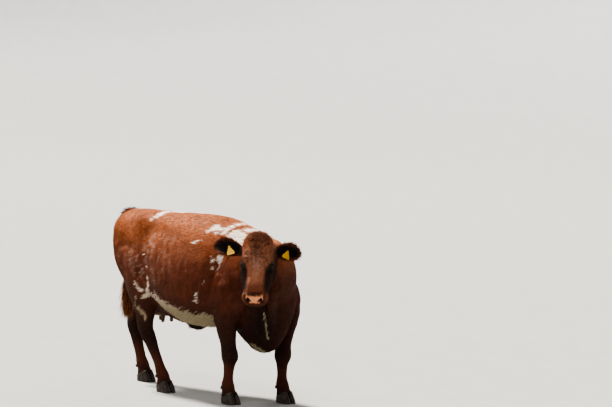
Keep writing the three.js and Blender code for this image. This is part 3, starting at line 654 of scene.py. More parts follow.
relief = {
    "both": [    # start, stop, reach, height; the right side, mirrored to the left
        ((-455, -262, 1272), (-440, -236, 1300), 34, 8),    # hook bone
        ((-560, -250, 1240), (-470, -270, 1180), 50, -3),    # hollow behind it
        ((-430, -215, 1322), (-60, -250, 1300), 40, 5),    # edge of the loin
        ((-330, -262, 1220), (-60, -300, 1190), 50, -8),    # hunger hollow under it
        ((-640, -215, 1080), (-560, -262, 820), 24, -10),    # groove behind the thigh
        ((-700, -205, 1060), (-650, -225, 840), 30, 7),
        ((-760, -150, 1110), (-700, -190, 860), 30, 7),    # edge of the rump
        ((-520, -275, 1120), (-420, -295, 900), 46, 8),    # thigh muscle
        ((-120, -350, 1090), (180, -330, 1120), 60, -5),
    ],
    "right": [
        ((452, -178, 1180), (590, -262, 900), 30, 11),    # shoulder blade's ridge
        ((520, -200, 1150), (640, -235, 930), 34, -8),    # before it
        ((388, -236, 1150), (332, -318, 930), 20, -14),    # behind it
        ((332, -318, 930), (312, -325, 700), 17, -14),
        ((372, -300, 930), (352, -320, 720), 26, 9),    # the shoulder's rear edge
        ((300, -300, 1050), (284, -330, 900), 13, -6), ((270, -310, 1000), (256, -335, 860), 13, -5),
        ((641, -196, 880), (652, -188, 800), 46, 13),    # point of the shoulder
        ((430, -318, 860), (380, -305, 700), 50, 10),    # upper arm muscle
        ((520, -300, 760), (450, -290, 620), 22, -9),
        ((470, -250, 620), (440, -240, 520), 20, 5),    # forearm muscle
        ((352, -262, 640), (346, -258, 610), 24, 10),    # elbow
        ((-290, -262, 760), (-180, -318, 662), 22, 16),    # fold of the flank
        ((-250, -280, 830), (-140, -330, 740), 34, -10),    # hollow before it
        ((-330, -280, 820), (-300, -258, 740), 34, 9),    # kneecap
        ((-430, -275, 800), (-400, -265, 640), 18, -7),
        ((-470, -215, 600), (-455, -205, 470), 14, -9),    # hollow before the heel tendon
    ],
    "left": [
        ((452, 178, 1180), (600, 268, 900), 30, 11),
        ((520, 200, 1150), (660, 240, 930), 34, -8),
        ((388, 236, 1150), (330, 322, 930), 36, -9),
        ((330, 322, 930), (350, 330, 720), 32, -9),
        ((700, 205, 880), (716, 220, 800), 50, 12),
        ((520, 330, 860), (510, 330, 700), 50, 9),
        ((470, 290, 660), (470, 286, 630), 26, 8),
        ((-440, 262, 740), (-250, 318, 662), 24, 13),
        ((-470, 280, 820), (-450, 262, 740), 34, 8),
        ((-740, 178, 610), (-800, 180, 500), 14, -8),
    ],
    "neck": [    # creases across the turned neck and folds down the dewlap
        ((735, -235, 1060), (700, -225, 880), 16, -7), ((762, -250, 1010), (735, -235, 850), 10, 5),
        ((700, -190, 1080), (655, -175, 900), 18, -6), ((790, -262, 980), (765, -235, 860), 12, -6),
        ((735, -176, 740), (726, -108, 540), 13, 12), ((700, -186, 720), (684, -124, 530), 17, -12),
        ((640, -200, 660), (632, -140, 480), 18, 8), ((768, -130, 720), (742, -60, 510), 16, -9),
        ((590, -190, 640), (584, -150, 500), 16, -9), ((530, -166, 600), (560, -120, 480), 14, 7),
        ((735, 60, 640), (700, 40, 470), 16, -7), ((600, -60, 402), (520, -30, 420), 16, 5)],
    "head": [    # in the head's frame, mirrored
        ((180, 90, -2), (240, 98, -26), 16, 10.0),    # brow over the eye
        ((168, 62, 2), (236, 62, -2), 17, -3.5),    # hollow inside the brow
        ((250, 96, -52), (306, 84, -76), 11, -8.0),    # tear groove
        ((262, 108, -92), (370, 92, -106), 13, 9.0),    # cheek ridge
        ((286, 100, -142), (376, 86, -138), 24, -8.0),    # under it
        ((112, 112, -54), (178, 116, -50), 24, -11.0),    # temple
        ((206, 112, -190), (262, 98, -214), 46, 9.0),    # jaw muscle
        ((296, 100, -160), (278, 90, -236), 12, -6.0),    # its front edge
        ((262, 56, -6), (424, 48, -12), 12, 6.0),    # edge of the nose bones
        ((286, 80, -40), (404, 78, -50), 20, -11.0),    # beside them
        ((384, 86, -114), (440, 92, -112), 16, 5.0),    # cheek pouch beside the lips
        ((436, 92, -80), (496, 66, -84), 12, 4.0),    # upper lip
        ((300, 60, -212), (400, 44, -178), 18, -5.0),    # between the jaw bones
        ((40, 92, -26), (110, 110, -50), 18, 7.0),    # crest behind the temple
        ((138, 44, 6), (182, 56, 4), 24, 5.0),    # forehead's two swellings
        ((120, 0, 8), (250, 0, 0), 17, -2.5),    # dip between them
    ],
}


ribs = {"spacing": 66, "lean": 0.16, "height": 0.8}


def bodyRelief(points):
    # every ridge and hollow of the body, the ribs as sines along it, faint swells and the folds of the chest
    total = np.zeros(len(points))
    mirror = np.array([1.0, -1, 1])
    for start, stop, reach, height in relief["both"]:
        for flip in (1, mirror):
            total += ridge(points, np.array(start) * flip, np.array(stop) * flip, reach, height)
    for key in ("right", "left", "neck"):
        for start, stop, reach, height in relief[key]:
            total += ridge(points, start, stop, reach, height)
    x, y, z = points.T
    rows = np.sin(2 * math.pi * (x + ribs["lean"] * (z - 900)) / ribs["spacing"])
    window = smooth(x, -300, -160) * (1 - smooth(x, 180, 300))
    window = window * smooth(z, 640, 800) * (1 - smooth(z, 1080, 1230))
    total += ribs["height"] * rows * window * smooth(np.abs(y), 180, 280)
    total += 1.6 * waves(points, 240, 3) * smooth(z, 520, 640)
    folds = np.sin(z / 11 + x / 17) * bell(points, (735, -120, 640), (70, 90, 170))
    return total + 2.2 * folds


def legRelief(points):
    # tendons behind the cannon bones: a groove at a fixed angle round each leg's own line
    total = np.zeros(len(points))
    z = points[:, 2]
    window = smooth(z, 130, 190) * (1 - smooth(z, 290, 350))
    for _, _, side, line in eachLeg():
        middle = stationsAtValue(line, np.clip(z, 58, 1200))
        forward = points[:, 0] - middle[:, 1]
        outward = points[:, 1] - side * middle[:, 2]
        near = np.hypot(forward, outward) < 90
        turn = np.abs(np.arctan2(outward, forward))
        total -= near * window * 4.0 * np.exp(-((turn - 1.95) / 0.32) ** 2)
        total += near * window * 2.0 * np.exp(-((turn - 2.75) / 0.4) ** 2)
    return total


mouth = {"height": -96, "corner": -100, "depth": 4.5, "width": 3.6}
nose = {"top": -22, "bottom": -66, "half": 62, "from": 452}
nostril = {"out": 42, "height": -49, "long": 16.0, "wide": 10.0, "slant": 42, "depth": 22}


def nostrilShape(local, side):
    # 1 in the middle of the comma-shaped opening, falling to 0 past its rim
    y = (local[:, 1] - side * nostril["out"]) * side
    z = local[:, 2] - nostril["height"]
    slant = math.radians(nostril["slant"])
    a = y * math.cos(slant) + z * math.sin(slant)
    b = -y * math.sin(slant) + z * math.cos(slant) - 0.022 * a * a
    front = smooth(local[:, 0], 448, 462)
    return np.exp(-((a / nostril["long"]) ** 2 + (b / nostril["wide"]) ** 2) ** 1.5) * front


def nostrilRim(local, side):
    # exp(-((r - 1) / 0.3)^2) on the ring r = 1 round the opening
    y = (local[:, 1] - side * nostril["out"]) * side
    z = local[:, 2] - nostril["height"]
    reach = np.sqrt((y / 22) ** 2 + (z / 17) ** 2)
    return np.exp(-((reach - 1) / 0.3) ** 2) * smooth(local[:, 0], 445, 465)


def headRelief(local):
    # the head's ridges, the mouth's line with a lip on each side, the nostrils' rims, the groove of the nose
    total = np.zeros(len(local))
    for start, stop, reach, height in relief["head"]:
        for side in (1, -1):
            flip = np.array([1, side, 1])
            total += ridge(local, np.array(start) * flip, np.array(stop) * flip, reach, height)
    x, y, z = local.T
    line = mouth["height"] + (mouth["corner"] - mouth["height"]) * (1 - smooth(x, 410, 500))
    opening = smooth(x, 408, 440)
    total -= opening * mouth["depth"] * np.exp(-((z - line) / mouth["width"]) ** 2)
    total += opening * 2.0 * (np.exp(-((z - line - 13) / 8) ** 2) + np.exp(-((z - line + 14) / 10) ** 2))
    total += 2.2 * (nostrilRim(local, 1) + nostrilRim(local, -1))
    groove = smooth(z, -96, -84) * (1 - smooth(z, -62, -48)) * smooth(x, 460, 480)
    total -= 2.0 * np.exp(-(y / 3.0) ** 2) * groove
    total += 1.4 * waves(local, 46, 5) * (1 - smooth(x, 400, 440))
    return total


def eyeAxes(side):
    # the way the eye looks, towards its inner corner, and up to the brow, in the head's frame
    look = unit(np.array([0.16, 0.74 * side, 0.65]))
    corner = unit(np.array([1.0, 0, -0.16]) - look * (look @ np.array([1.0, 0, -0.16])))
    up = np.cross(look, corner)
    return look, corner, up * np.sign(up[2])


eye = {"openWide": 57, "openUp": 29, "openDown": 28, "lidTo": 74, "lidThick": 3.0}    # degrees, and mm


def sinkEyes(local):
    # inside the lids' cone the skin goes in behind the eyeball: rho = 15 + (rho - 15) * smooth(angle)
    for side in (-1, 1):
        middle = eyeMiddle(side)
        look, _, _ = eyeAxes(side)
        away = local - middle
        rho = np.linalg.norm(away, axis=1)
        angle = np.degrees(np.arccos(np.clip(away @ look / rho, -1, 1)))
        near = (rho < 70) & (angle < 90)
        sunk = 15 + (rho - 15) * smooth(angle, 46, 66)
        local = np.where(near[:, None], middle + away / rho[:, None] * np.minimum(sunk, rho)[:, None], local)
    return local


def lidSurface(side, skinLocal):
    # rho(a, s): from the almond edge on the ball over the lid's margin and one crease out to the skin around
    middle = eyeMiddle(side)
    look, corner, up = eyeAxes(side)
    away = skinLocal - middle
    reach = np.linalg.norm(away, axis=1)
    ways = away / reach[:, None]
    a = np.linspace(0, 2 * math.pi, 96, endpoint=False)[:, None]
    s = np.linspace(0, 1, 26)[None]
    half = np.where(np.sin(a) > 0, eye["openUp"], eye["openDown"])
    edge = np.hypot(eye["openWide"] * np.cos(a), half * np.sin(a) * (1 - 0.25 * np.cos(a) ** 2))
    angle = np.radians(edge + (eye["lidTo"] - edge) * s)
    rim = np.cos(a) * corner + np.sin(a) * up
    lidTo = math.radians(eye["lidTo"])
    outwards = look * math.cos(lidTo) + rim * math.sin(lidTo)
    outer = np.array([reach[np.argmax(np.where(reach < 90, ways @ way, -1))] for way in outwards])[:, None]
    ball = eyePlace["radius"]
    upper = np.clip(np.sin(a), 0, 1)
    rho = ball + 0.7 + (outer - 1.5 - ball) * s ** 1.4
    rho = rho + eye["lidThick"] * np.exp(-((s - 0.13) / 0.11) ** 2)
    rho = rho - (1.0 + 1.2 * upper) * np.exp(-((s - 0.40) / 0.07) ** 2)
    rho = rho + (0.6 + 1.6 * upper) * np.exp(-((s - 0.58) / 0.12) ** 2)
    rho = np.concatenate([0 * rho[:, :1] + ball - 2.5, rho], 1)
    angle = np.concatenate([angle[:, :1], angle], 1)
    c, s = np.cos(angle)[..., None], np.sin(angle)[..., None]
    points = middle + rho[..., None] * (look * c + rim[:, None] * s)
    rows, columns = points.shape[:2]
    i, j = np.meshgrid(np.arange(rows), np.arange(columns - 1), indexing="ij")
    first, nextRow = i * columns + j, (i + 1) % rows * columns + j
    quads = np.stack([first, first + 1, nextRow + 1, nextRow], -1).reshape(-1, 4)
    flat = fromHead(points.reshape(-1, 3))
    normal = np.cross(flat[quads[:, 1]] - flat[quads[:, 0]], flat[quads[:, 3]] - flat[quads[:, 0]])
    if (normal * (flat[quads[:, 0]] - fromHead(middle[None]))).sum() < 0:
        quads = quads[:, ::-1]
    return flat, quads, np.zeros((0, 3), int)


def depthAt(points):
    # how deep the skin lies under the coat's tips
    local = toHead(points)
    z = points[:, 2]
    depth = skin["legDepth"] + (skin["depth"] - skin["legDepth"]) * smooth(z, 360, 620)
    depth = skin["footDepth"] * (1 - smooth(z, 60, 150)) + depth * smooth(z, 60, 150)
    onHead = headness(points)
    depth = depth + (skin["headDepth"] - depth) * onHead
    bare = smooth(local[:, 0], 430, 470) * onHead
    depth = depth * (1 - bare)
    onUdder = bell(points, (-420, 0, 600), (170, 110, 90))
    return depth + (skin["udderDepth"] - depth) * np.clip(onUdder * 1.6, 0, 1)


def buildSkin():
    # the union, blended and cut finer at the head, moved along its normals by relief - depth; then the
    # nostrils are sunk and the sockets opened. With it, the lids' surfaces
    mesh = unionOf(bodySurfaces(), skin["voxel"])
    print("union", len(mesh.vertices))
    points, edges = pointsOf(mesh), edgesOf(mesh)
    z = points[:, 2]
    body = np.where(isHead(points), 0.25, 1.0) * (0.35 + 0.65 * smooth(z, 380, 620))
    points = relax(points, edges, skin["blend"], body[:, None])
    mesh.vertices.foreach_set("co", toFrame(points).ravel())
    refine(mesh, isHead)
    refine(mesh, isFineFace)
    mesh.update()
    points, edges = pointsOf(mesh), edgesOf(mesh)
    onHead = isHead(points)
    points = relax(points, edges, skin["headBlend"], np.where(onHead, 0.8, 0.0)[:, None])
    mesh.vertices.foreach_set("co", toFrame(points).ravel())
    mesh.update()
    normals = readArray(mesh.vertex_normals, "vector", 3)
    local = toHead(points)
    inHead = headness(points)
    push = bodyRelief(points) * (1 - inHead) + legRelief(points) + headRelief(local) * inHead
    points = points + normals * (push - depthAt(points))[:, None]
    local = toHead(points)
    for side in (-1, 1):
        pit = nostrilShape(local, side)
        local = local - pit[:, None] * nostril["depth"] * np.array([1.0, -0.25 * side, 0.1])
    rounded = sinkEyes(local)
    lids = [lidSurface(side, local) for side in (-1, 1)]
    points = np.where(onHead[:, None], fromHead(rounded), points)
    quads, triangles = facesOf(mesh)
    return (points, quads, triangles), lids


def facesOf(mesh):
    # quads and triangles apart; a larger face is cut as a fan from its first corner
    sizes, starts = (readArray(mesh.polygons, key, kind=np.int32) for key in ("loop_total", "loop_start"))
    corners = readArray(mesh.loops, "vertex_index", kind=np.int32)
    quads = corners[starts[sizes == 4][:, None] + np.arange(4)]
    triangles = [corners[starts[sizes == 3][:, None] + np.arange(3)]]
    for size in range(5, sizes.max() + 1):
        begin = starts[sizes == size]
        triangles += [corners[np.stack([begin, begin + k, begin + k + 1], -1)] for k in range(1, size - 1)]
    return quads, np.concatenate(triangles)


# colours, written as sRGB bytes

palette = {
    "red": (106, 55, 35), "orange": (160, 92, 54), "deep": (64, 31, 20), "dark": (31, 16, 11),
    "black": (11, 7, 6), "white": (250, 241, 228), "whiteInShade": (156, 144, 118), "roan": (172, 134, 116),
    "face": (150, 98, 74), "cheek": (46, 24, 16), "nose": (204, 140, 104), "noseEdge": (52, 26, 18),
    "udder": (186, 158, 134), "teat": (52, 32, 27), "inside": (14, 8, 7), "lid": (14, 9, 8),
    "lip": (86, 44, 30), "tail": (112, 60, 32), "tailTip": (176, 118, 76),
}


def colour(name):
    # sRGB bytes to linear light: ((c + 0.055) / 1.055)^2.4
    return ((np.array(palette[name]) / 255 + 0.055) / 1.055) ** 2.4


def mix(base, other, amount):
    # base + (other - base) * amount
    return base + (other - base) * np.asarray(amount)[..., None]


def layered(tone, *layers):
    # one colour after another mixed in, each by its own amount at every point
    for name, amount in layers:
        tone = mix(tone, colour(name), amount)
    return tone


# white marks in the cow's millimetres: middle, reach, strength; those on the dewlap's edge are partly painted
# highlight
whiteSpots = [
    ((-242, 0, 1350), (56, 40, 16), 1.1), ((-300, 0, 1348), (40, 40, 16), 1.0),
    ((-345, -60, 1340), (26, 60, 16), 1.1), ((-349, -120, 1324), (22, 40, 18), 1.1),
    ((-354, -170, 1302), (16, 26, 18), 1.0), ((-372, -208, 1276), (12, 18, 18), 0.8),
    ((200, -207, 1245), (16, 20, 16), 0.9), ((220, -185, 1266), (26, 26, 18), 1.0),
    ((234, -160, 1282), (26, 24, 16), 1.0), ((268, -168, 1266), (20, 26, 20), 0.9),
    ((262, -192, 1241), (10, 22, 20), 0.8), ((313, -173, 1243), (18, 26, 18), 1.0),
    ((312, -142, 1268), (18, 24, 20), 1.0), ((330, -105, 1286), (20, 30, 16), 1.0),
    ((352, -50, 1304), (18, 36, 14), 1.0), ((366, -10, 1308), (18, 36, 14), 0.9),
    ((375, 60, 1300), (22, 40, 20), 0.9), ((443, -50, 1272), (24, 36, 18), 1.0),
    ((466, -8, 1276), (24, 40, 18), 1.0), ((478, 60, 1260), (26, 44, 24), 0.9),
    ((374, -160, 1232), (24, 30, 30), 1.1), ((394, -124, 1250), (26, 36, 26), 1.1),
    ((440, -128, 1228), (44, 40, 40), 1.2), ((428, -162, 1198), (34, 34, 34), 1.2),
    ((454, -160, 1182), (34, 34, 34), 1.2), ((490, -130, 1190), (30, 40, 40), 1.0),
    ((130, -290, 1154), (18, 24, 10), 0.75), ((153, -278, 1170), (18, 24, 9), 0.8),
    ((171, -270, 1180), (10, 20, 8), 0.7), ((354, -262, 1068), (18, 26, 26), 1.4),
    ((362, -268, 1040), (12, 26, 28), 1.2), ((366, -280, 1010), (6, 24, 28), 0.8),
    ((315, -286, 1045), (6, 24, 30), 0.75), ((300, -286, 1072), (6, 24, 26), 0.7),
    ((326, -296, 992), (5, 24, 30), 0.6), ((276, -333, 875), (5, 26, 30), 0.65),
    ((345, -300, 960), (4, 24, 40), 0.6), ((-317, -308, 936), (14, 26, 12), 0.8),
    ((-338, -300, 1027), (12, 26, 8), 0.65), ((-307, -295, 855), (10, 26, 20), 0.8),
    ((-304, -288, 800), (11, 26, 36), 0.85), ((-312, -268, 758), (16, 30, 18), 1.0),
    ((-394, -292, 776), (13, 30, 18), 0.95), ((-368, -288, 753), (20, 30, 15), 1.05),
    ((-348, -274, 705), (16, 30, 22), 0.9), ((-322, -258, 718), (20, 30, 16), 1.0),
    ((-415, -294, 802), (10, 26, 22), 0.75), ((-437, -263, 641), (8, 26, 24), 0.85),
    ((-410, -262, 612), (24, 28, 14), 1.05), ((-376, -254, 588), (20, 28, 18), 1.1),
    ((-356, -242, 556), (13, 28, 32), 1.1), ((-425, -275, 690), (7, 26, 24), 0.8),
    ((-385, -296, 886), (8, 26, 18), 0.6), ((220, -345, 787), (12, 26, 12), 0.8),
    ((220, -336, 752), (13, 26, 22), 0.7), ((212, -332, 730), (22, 28, 18), 0.8),
    # partly pale hair and partly painted highlight: the five spots down the dewlap's edge stand for light
    # along it; the last three are the brisket's white
    ((730, -163, 696), (5, 20, 40), 0.8), ((730, -150, 650), (6, 20, 44), 0.9),
    ((730, -137, 606), (7, 20, 44), 0.95), ((727, -118, 562), (8, 20, 40), 0.95),
    ((721, -98, 524), (8, 20, 34), 0.85), ((574, -78, 438), (34, 30, 18), 1.1),
    ((600, -60, 418), (36, 34, 18), 1.2), ((626, -30, 402), (30, 40, 16), 1.1),
    # the left side
    ((340, 210, 1200), (60, 60, 50), 1.0), ((470, 130, 1240), (60, 50, 40), 1.0),
    ((150, 240, 1230), (40, 40, 26), 0.9), ((-340, 200, 1290), (40, 40, 30), 0.9),
    ((-300, 300, 980), (40, 40, 26), 0.8), ((-380, 290, 800), (40, 40, 34), 0.9),
    ((330, 320, 940), (18, 40, 90), 0.8), ((-500, 260, 640), (30, 40, 30), 0.9),
]

underline = {    # between which heights the belly is white, along the body
    "x": (-330, -295, -169, -95, -3, 71, 143, 205, 235, 281, 330),
    "top": (760, 752, 724, 694, 670, 654, 642, 640, 640, 626, 580),
    "bottom": (736, 722, 640, 590, 480, 480, 480, 480, 480, 480, 480)}
# single pale hairs on the flank
ticks = {"middle": (-330, -270, 980), "reach": (260, 200, 170), "share": 0.24}


def whiteShare(points):
    # the largest mark at each point, roughened at its edge by noise at two sizes, and a dusting of pale hairs
    x, _, z = points.T
    total = np.zeros(len(points))
    for middle, reach, strength in whiteSpots:
        total = np.maximum(total, strength * bell(points, middle, np.array(reach) * 1.2))
    ragged = 18 * waves(points, 120, 31) + 22 * waves(points * (1, 1, 0.35), 26, 34, 3)
    top, bottom = (np.interp(x, underline["x"], underline[key]) for key in ("top", "bottom"))
    band = smooth(top + ragged - z, -12, 12) * smooth(z + 0.5 * ragged - bottom, -12, 12)
    band = band * smooth(x, -345, -320) * (1 - smooth(x, 300, 335))
    # painted shade under the navel's fold: the white band stops there
    dark = bell(points, (-40, -10, 500), (70, 60, 22))
    total = np.maximum(total, band * (1 - smooth(dark, 0.2, 0.5)))
    rough = 0.18 * waves(points * (1, 1, 0.5), 34, 33, 4) + 0.10 * waves(points * (1, 1, 0.4), 13, 35, 2)
    marks = smooth(total + rough, 0.40, 0.58)
    dust = ticks["share"] * bell(points * (1, 0, 1) + (0, -270, 0), ticks["middle"], ticks["reach"])
    dust = dust * smooth(waves(points, 70, 36), -0.1, 0.7)
    return np.maximum(marks, dust)


def paleTone(points):
    # the pale hair: roan on the head, white above, darker lower down as painted shade under the belly
    made = mix(colour("white")[None], colour("whiteInShade"), 1 - smooth(points[:, 2], 600, 900))
    return mix(made, colour("roan"), headness(points))


def headShare(local):
    # roan hair between the eyes and thinly down the bridge
    z = local[:, 2]
    roan = 0.75 * bell(local, (238, -2, 0), (56, 34, 60)) + 0.25 * bell(local, (330, 0, -10), (60, 34, 50))
    roan = roan + 0.25 * bell(local, (190, 0, 0), (60, 60, 60))
    return np.clip(roan * smooth(z, -60, -30) * (0.75 + 0.5 * waves(local, 40, 41)), 0, 0.8)


def noseMask(local):
    # 1 on the bare pad: between the nostrils and over them, wider at its top, down to the lip
    x, y, z = local.T
    high = (z - nose["bottom"]) / (nose["top"] - nose["bottom"])
    half = nose["half"] * (0.62 + 0.38 * smooth(high, 0.1, 0.75))
    edge = 4 * waves(local, 26, 43)
    inside = smooth(half + edge - np.abs(y), -5, 5) * smooth(z + edge, nose["bottom"] - 4, nose["bottom"] + 4)
    inside = inside * (1 - smooth(z + edge, nose["top"] - 5, nose["top"] + 5))
    return inside * smooth(x, nose["from"] - 14, nose["from"])


def baseTone(points):
    # orange over the back, partly hair that the sun bleaches and partly painted light from above; redder down
    # the sides; painted shade low on the body, at the throat, in the hollows, between the chest's folds and
    # under the navel's fold; the legs darker, partly their own darker hair and partly painted shade; streaks
    # that run down with the hair
    z = points[:, 2]
    front = smooth(points[:, 0], 560, 720) * (1 - smooth(z, 900, 1150))
    tone = layered(
        colour("red")[None],
        # partly sun-bleached hair and partly painted light from above: orange over the back
        ("orange", smooth(z + 14 * waves(points, 300, 51), 930, 1300)),
        # painted shade: darker low on the body
        ("deep", (1 - smooth(z + 60 * waves(points, 260, 52), 580, 960)) * 0.85),
        # the legs darker, partly their own darker hair and partly painted shade
        ("dark", (1 - smooth(z, 380, 700)) * (0.35 + 0.4 * smooth(z, 250, 400))),
        ("deep", (1 - smooth(z, 120, 330)) * 0.7),
        ("red", smooth(z, 90, 150) * (1 - smooth(z, 210, 330)) * 0.4),
        ("dark", np.clip(-bodyRelief(points) / 16, 0, 1) * 0.5),    # painted shade in the hollows
        # painted shade at the throat and the front of the chest
        ("deep", front * 0.6),
        ("black", bell(points, (690, -130, 620), (120, 110, 240)) * 0.75),    # painted shade between the folds of the chest
        ("dark", np.clip(waves(points, 190, 53, 4) - 0.1, 0, 1) * 0.28))
    streak = waves(points * (1, 1, 0.22), 34, 54, 3) + 0.6 * waves(points * (1, 1, 0.2), 12, 55, 2)
    tone = tone * (1 + 0.20 * np.clip(streak, -1, 1.2) * smooth(z, 560, 700))[:, None]
    return layered(
        tone,
        ("red", bell(points, (-470, -230, 1262), (70, 60, 70)) * 0.35),    # on the hook bone
        ("dark", bell(points, (-800, 0, 1300), (60, 50, 40)) * 0.8),    # on the tail head
        ("black", bell(points, (-40, -10, 500), (80, 70, 26)) * 0.7))    # painted shade under the fold at the navel


darkCurls = ((100, -10, 8), (108, 14, 8), (146, -12, 8), (60, 30, 8), (52, -30, 8), (70, 74, 0), (150, 30, 6))


def headTone(local):
    # brown over the forehead and down the bridge with darker curls; the sides of the face and the orbits dark
    # with painted shade, also under the jaw, in the hollows and along the mouth; a painted highlight on the
    # poll's right side
    x, y, z = local.T
    across = np.abs(y)
    half = np.interp(x, [200, 260, 340, 430], [90, 64, 56, 66])
    streaky = 9 * waves(local * (0.35, 1, 1), 16, 62, 3)
    beside = smooth(across - half + streaky, -5, 12) * smooth(x + streaky, 210, 250)
    beside = beside * (1 - smooth(x, 425, 450))
    curls = waves(local, 26, 61, 3) * (1 - smooth(x, 200, 300)) * smooth(z, -60, -20)
    tone = layered(
        colour("red")[None],
        ("face", 0.5 + 0.4 * smooth(x, 20, 90)),
        # painted highlight: light on the right side of the poll
        ("orange", 0.75 * bell(local, (70, -100, -20), (60, 30, 40))),
        ("face", 0.9 * bell(local, (140, 72, 0), (60, 34, 60))),
        ("red", smooth(x, 330, 410) * 0.85),
        # painted shade: the sides of the face dark
        ("cheek", beside * 0.93),
        # painted shade in the head's hollows
        ("dark", np.clip(-headRelief(local) / 9, 0, 1) * 0.5 * smooth(x, 60, 160)),
        # painted shade on the lower sides of the head
        ("cheek", (1 - smooth(z, -110, -40)) * 0.9 * smooth(x, 30, 100)),
        # painted shade under the jaw
        ("dark", (1 - smooth(z, -220, -110)) * 0.7),
        ("dark", 0.2 * bell(local, (-8, 0, 0), (40, 110, 80))),
        ("dark", np.clip(1.3 * curls, 0, 1) * 0.75))
    for spot in darkCurls:
        tone = mix(tone, colour("black"), 0.75 * bell(local, spot, (10, 13, 40)))
    # painted shade round the eyes: round the lids, in the tear groove and under the brow
    for side in (-1, 1):
        ring = np.linalg.norm((local - eyeMiddle(side)) * (0.62, 1, 1.05), axis=1)
        tone = layered(
            tone,
            ("black", 0.95 * np.exp(-((ring - 20) / 11) ** 2)),    # round the lids
            ("black", 0.7 * bell(local, (272, side * 90, -52), (26, 14, 20))),    # tear groove
            ("black", 0.45 * bell(local, (200, side * 112, -30), (26, 16, 24))))
    return layered(
        tone,
        ("lip", 0.7 * smooth(x, 405, 440) * (1 - smooth(z, -100, -60))),
        ("noseEdge", 0.85 * smooth(x, 432, 452) * (1 - smooth(across, 60, 84)) * smooth(z, -80, -60)),
        # painted shade along the mouth's line
        ("noseEdge", 0.8 * smooth(x, 425, 450) * np.exp(-((z - mouth["height"]) / 7) ** 2)))


zones = {"body": 0, "lids": 1, "earRight": 2, "earLeft": 3, "tail": 4, "teats": 5}
earSides = ((-1, "earRight"), (1, "earLeft"))


def onBag(points):
    # 1 in the middle of the udder's bag
    return bell(points, (-412, 0, 600), (175, 105, 100))


def paint(points, zone):
    # every part's colour, its share of white hair and its bareness, in that order
    local = toHead(points)
    inHead = headness(points) * (zone != zones["tail"])
    tone = baseTone(points)
    tone = tone + (headTone(local) - tone) * inHead[:, None]
    white = whiteShare(points) * (1 - inHead) + headShare(local) * inHead
    bare = noseMask(local) * inHead
    spots = np.clip(0.35 * waves(local, 12, 44, 3) - 0.05, 0, 0.5)
    tone = mix(tone, layered(colour("nose")[None], ("noseEdge", spots)), bare)
    # painted shade: the nostrils' openings black
    for side in (-1, 1):
        tone = mix(tone, colour("black"), np.clip(nostrilShape(local, side) * 1.9, 0, 1) * inHead)
    for side, name in earSides:
        here = zone == zones[name]
        _, wide, inner = earPlace(local, side)
        leaf = mix(colour("deep")[None], colour("red"), smooth(np.abs(wide), 30, 50) * 0.8)
        # painted shade: near black in the ear's hollow
        leaf = mix(leaf, colour("inside"), inner)
        tone = np.where(here[:, None], leaf, tone)
        bare = np.where(here, 0.3 * inner, bare)
        white = white * ~here
    onUdder = smooth(0.75 * onBag(points) * 2, 0.7, 1.0) * (zone == zones["body"])
    onUdder = np.where(zone == zones["teats"], 1, onUdder)
    tone = layered(tone, ("udder", onUdder * 0.9), ("teat", (zone == zones["teats"]) * 0.8))
    bare = np.maximum(bare, onUdder)
    onTail = zone == zones["tail"]
    hanging = mix(colour("red")[None], colour("tail"), 1 - smooth(points[:, 2], 700, 1100))
    tone = np.where(onTail[:, None], mix(tone, hanging, (1 - smooth(points[:, 2], 1230, 1290))), tone)
    onLid = zone == zones["lids"]
    tone = np.where(onLid[:, None], mix(colour("lid")[None], tone, 0.25), tone)
    return tone, white * (1 - onUdder) * ~onTail, np.where(onLid, 0.6, bare)


def earPlace(local, side):
    # how far along the leaf, how far across it, and 1 inside its hollow
    out, across, facing, root = earAxes(side)
    away = local - root
    along, wide, deep = away @ out / ear["length"], away @ across, away @ facing
    front = deep > ear["cup"] * (wide / ear["curlFrom"]) ** 2 - 1
    reach = np.hypot((along - 0.50) / 0.42, wide / 54)
    return along, wide, front * (1 - smooth(reach, 0.75, 1.05))


def assembleSkin():
    # the flesh, lids, ears, tail and teats in one mesh, with each point's zone
    body, lids = buildSkin()
    parts = [(body, "body")] + [(lid, "lids") for lid in lids]
    for side, name in earSides:
        leaf = earSurface(side, ear["inset"], 80, 80)
        points, quads, caps = closedTube(leaf)
        parts.append(((fromHead(points), quads, caps), name))
    section = tailSection(tail["dock"], tail["skinShare"])
    parts.append((closedTube(sweep(tail["dock"], section, 110, 32)), "tail"))
    teat = udder["teat"]
    for ahead in (teat["ahead"], teat["behind"]):
        for side in (-1, 1):
            parts.append((closedTube(teatSurface(teat["x"] + ahead, side * teat["out"])), "teats"))
    zone = np.concatenate([np.full(len(part[0]), zones[name]) for part, name in parts])
    return joinParts([part for part, _ in parts]), zone


def attribute(mesh, name, values):
    # one colour or number for every point
    kind = "FLOAT_COLOR" if np.ndim(values) == 2 else "FLOAT"
    layer = mesh.attributes.new(name, kind, "POINT")
    if kind == "FLOAT":
        layer.data.foreach_set("value", np.asarray(values, np.float32))
    else:
        full = np.concatenate([values, np.ones((len(values), 1))], 1)
        layer.data.foreach_set("color", full.astype(np.float32).ravel())


def unwrap(piece):
    # the baked colour's own layer, one patch of skin next to the other
    piece.data.uv_layers.new(name="OFBake")
    bpy.context.view_layer.objects.active = piece
    piece.select_set(True)
    bpy.ops.object.mode_set(mode="EDIT")
    bpy.ops.mesh.select_all(action="SELECT")
    bpy.ops.uv.smart_project(angle_limit=math.radians(62), island_margin=0.0008, area_weight=0.5)
    bpy.ops.object.mode_set(mode="OBJECT")
    piece.select_set(False)


# materials

def inputName(key):
    # "input2" is the third input; anything else is an input's own name with _ for the spaces
    return int(key[5:]) if key.startswith("input") and key[5:].isdigit() else key.replace("_", " ")


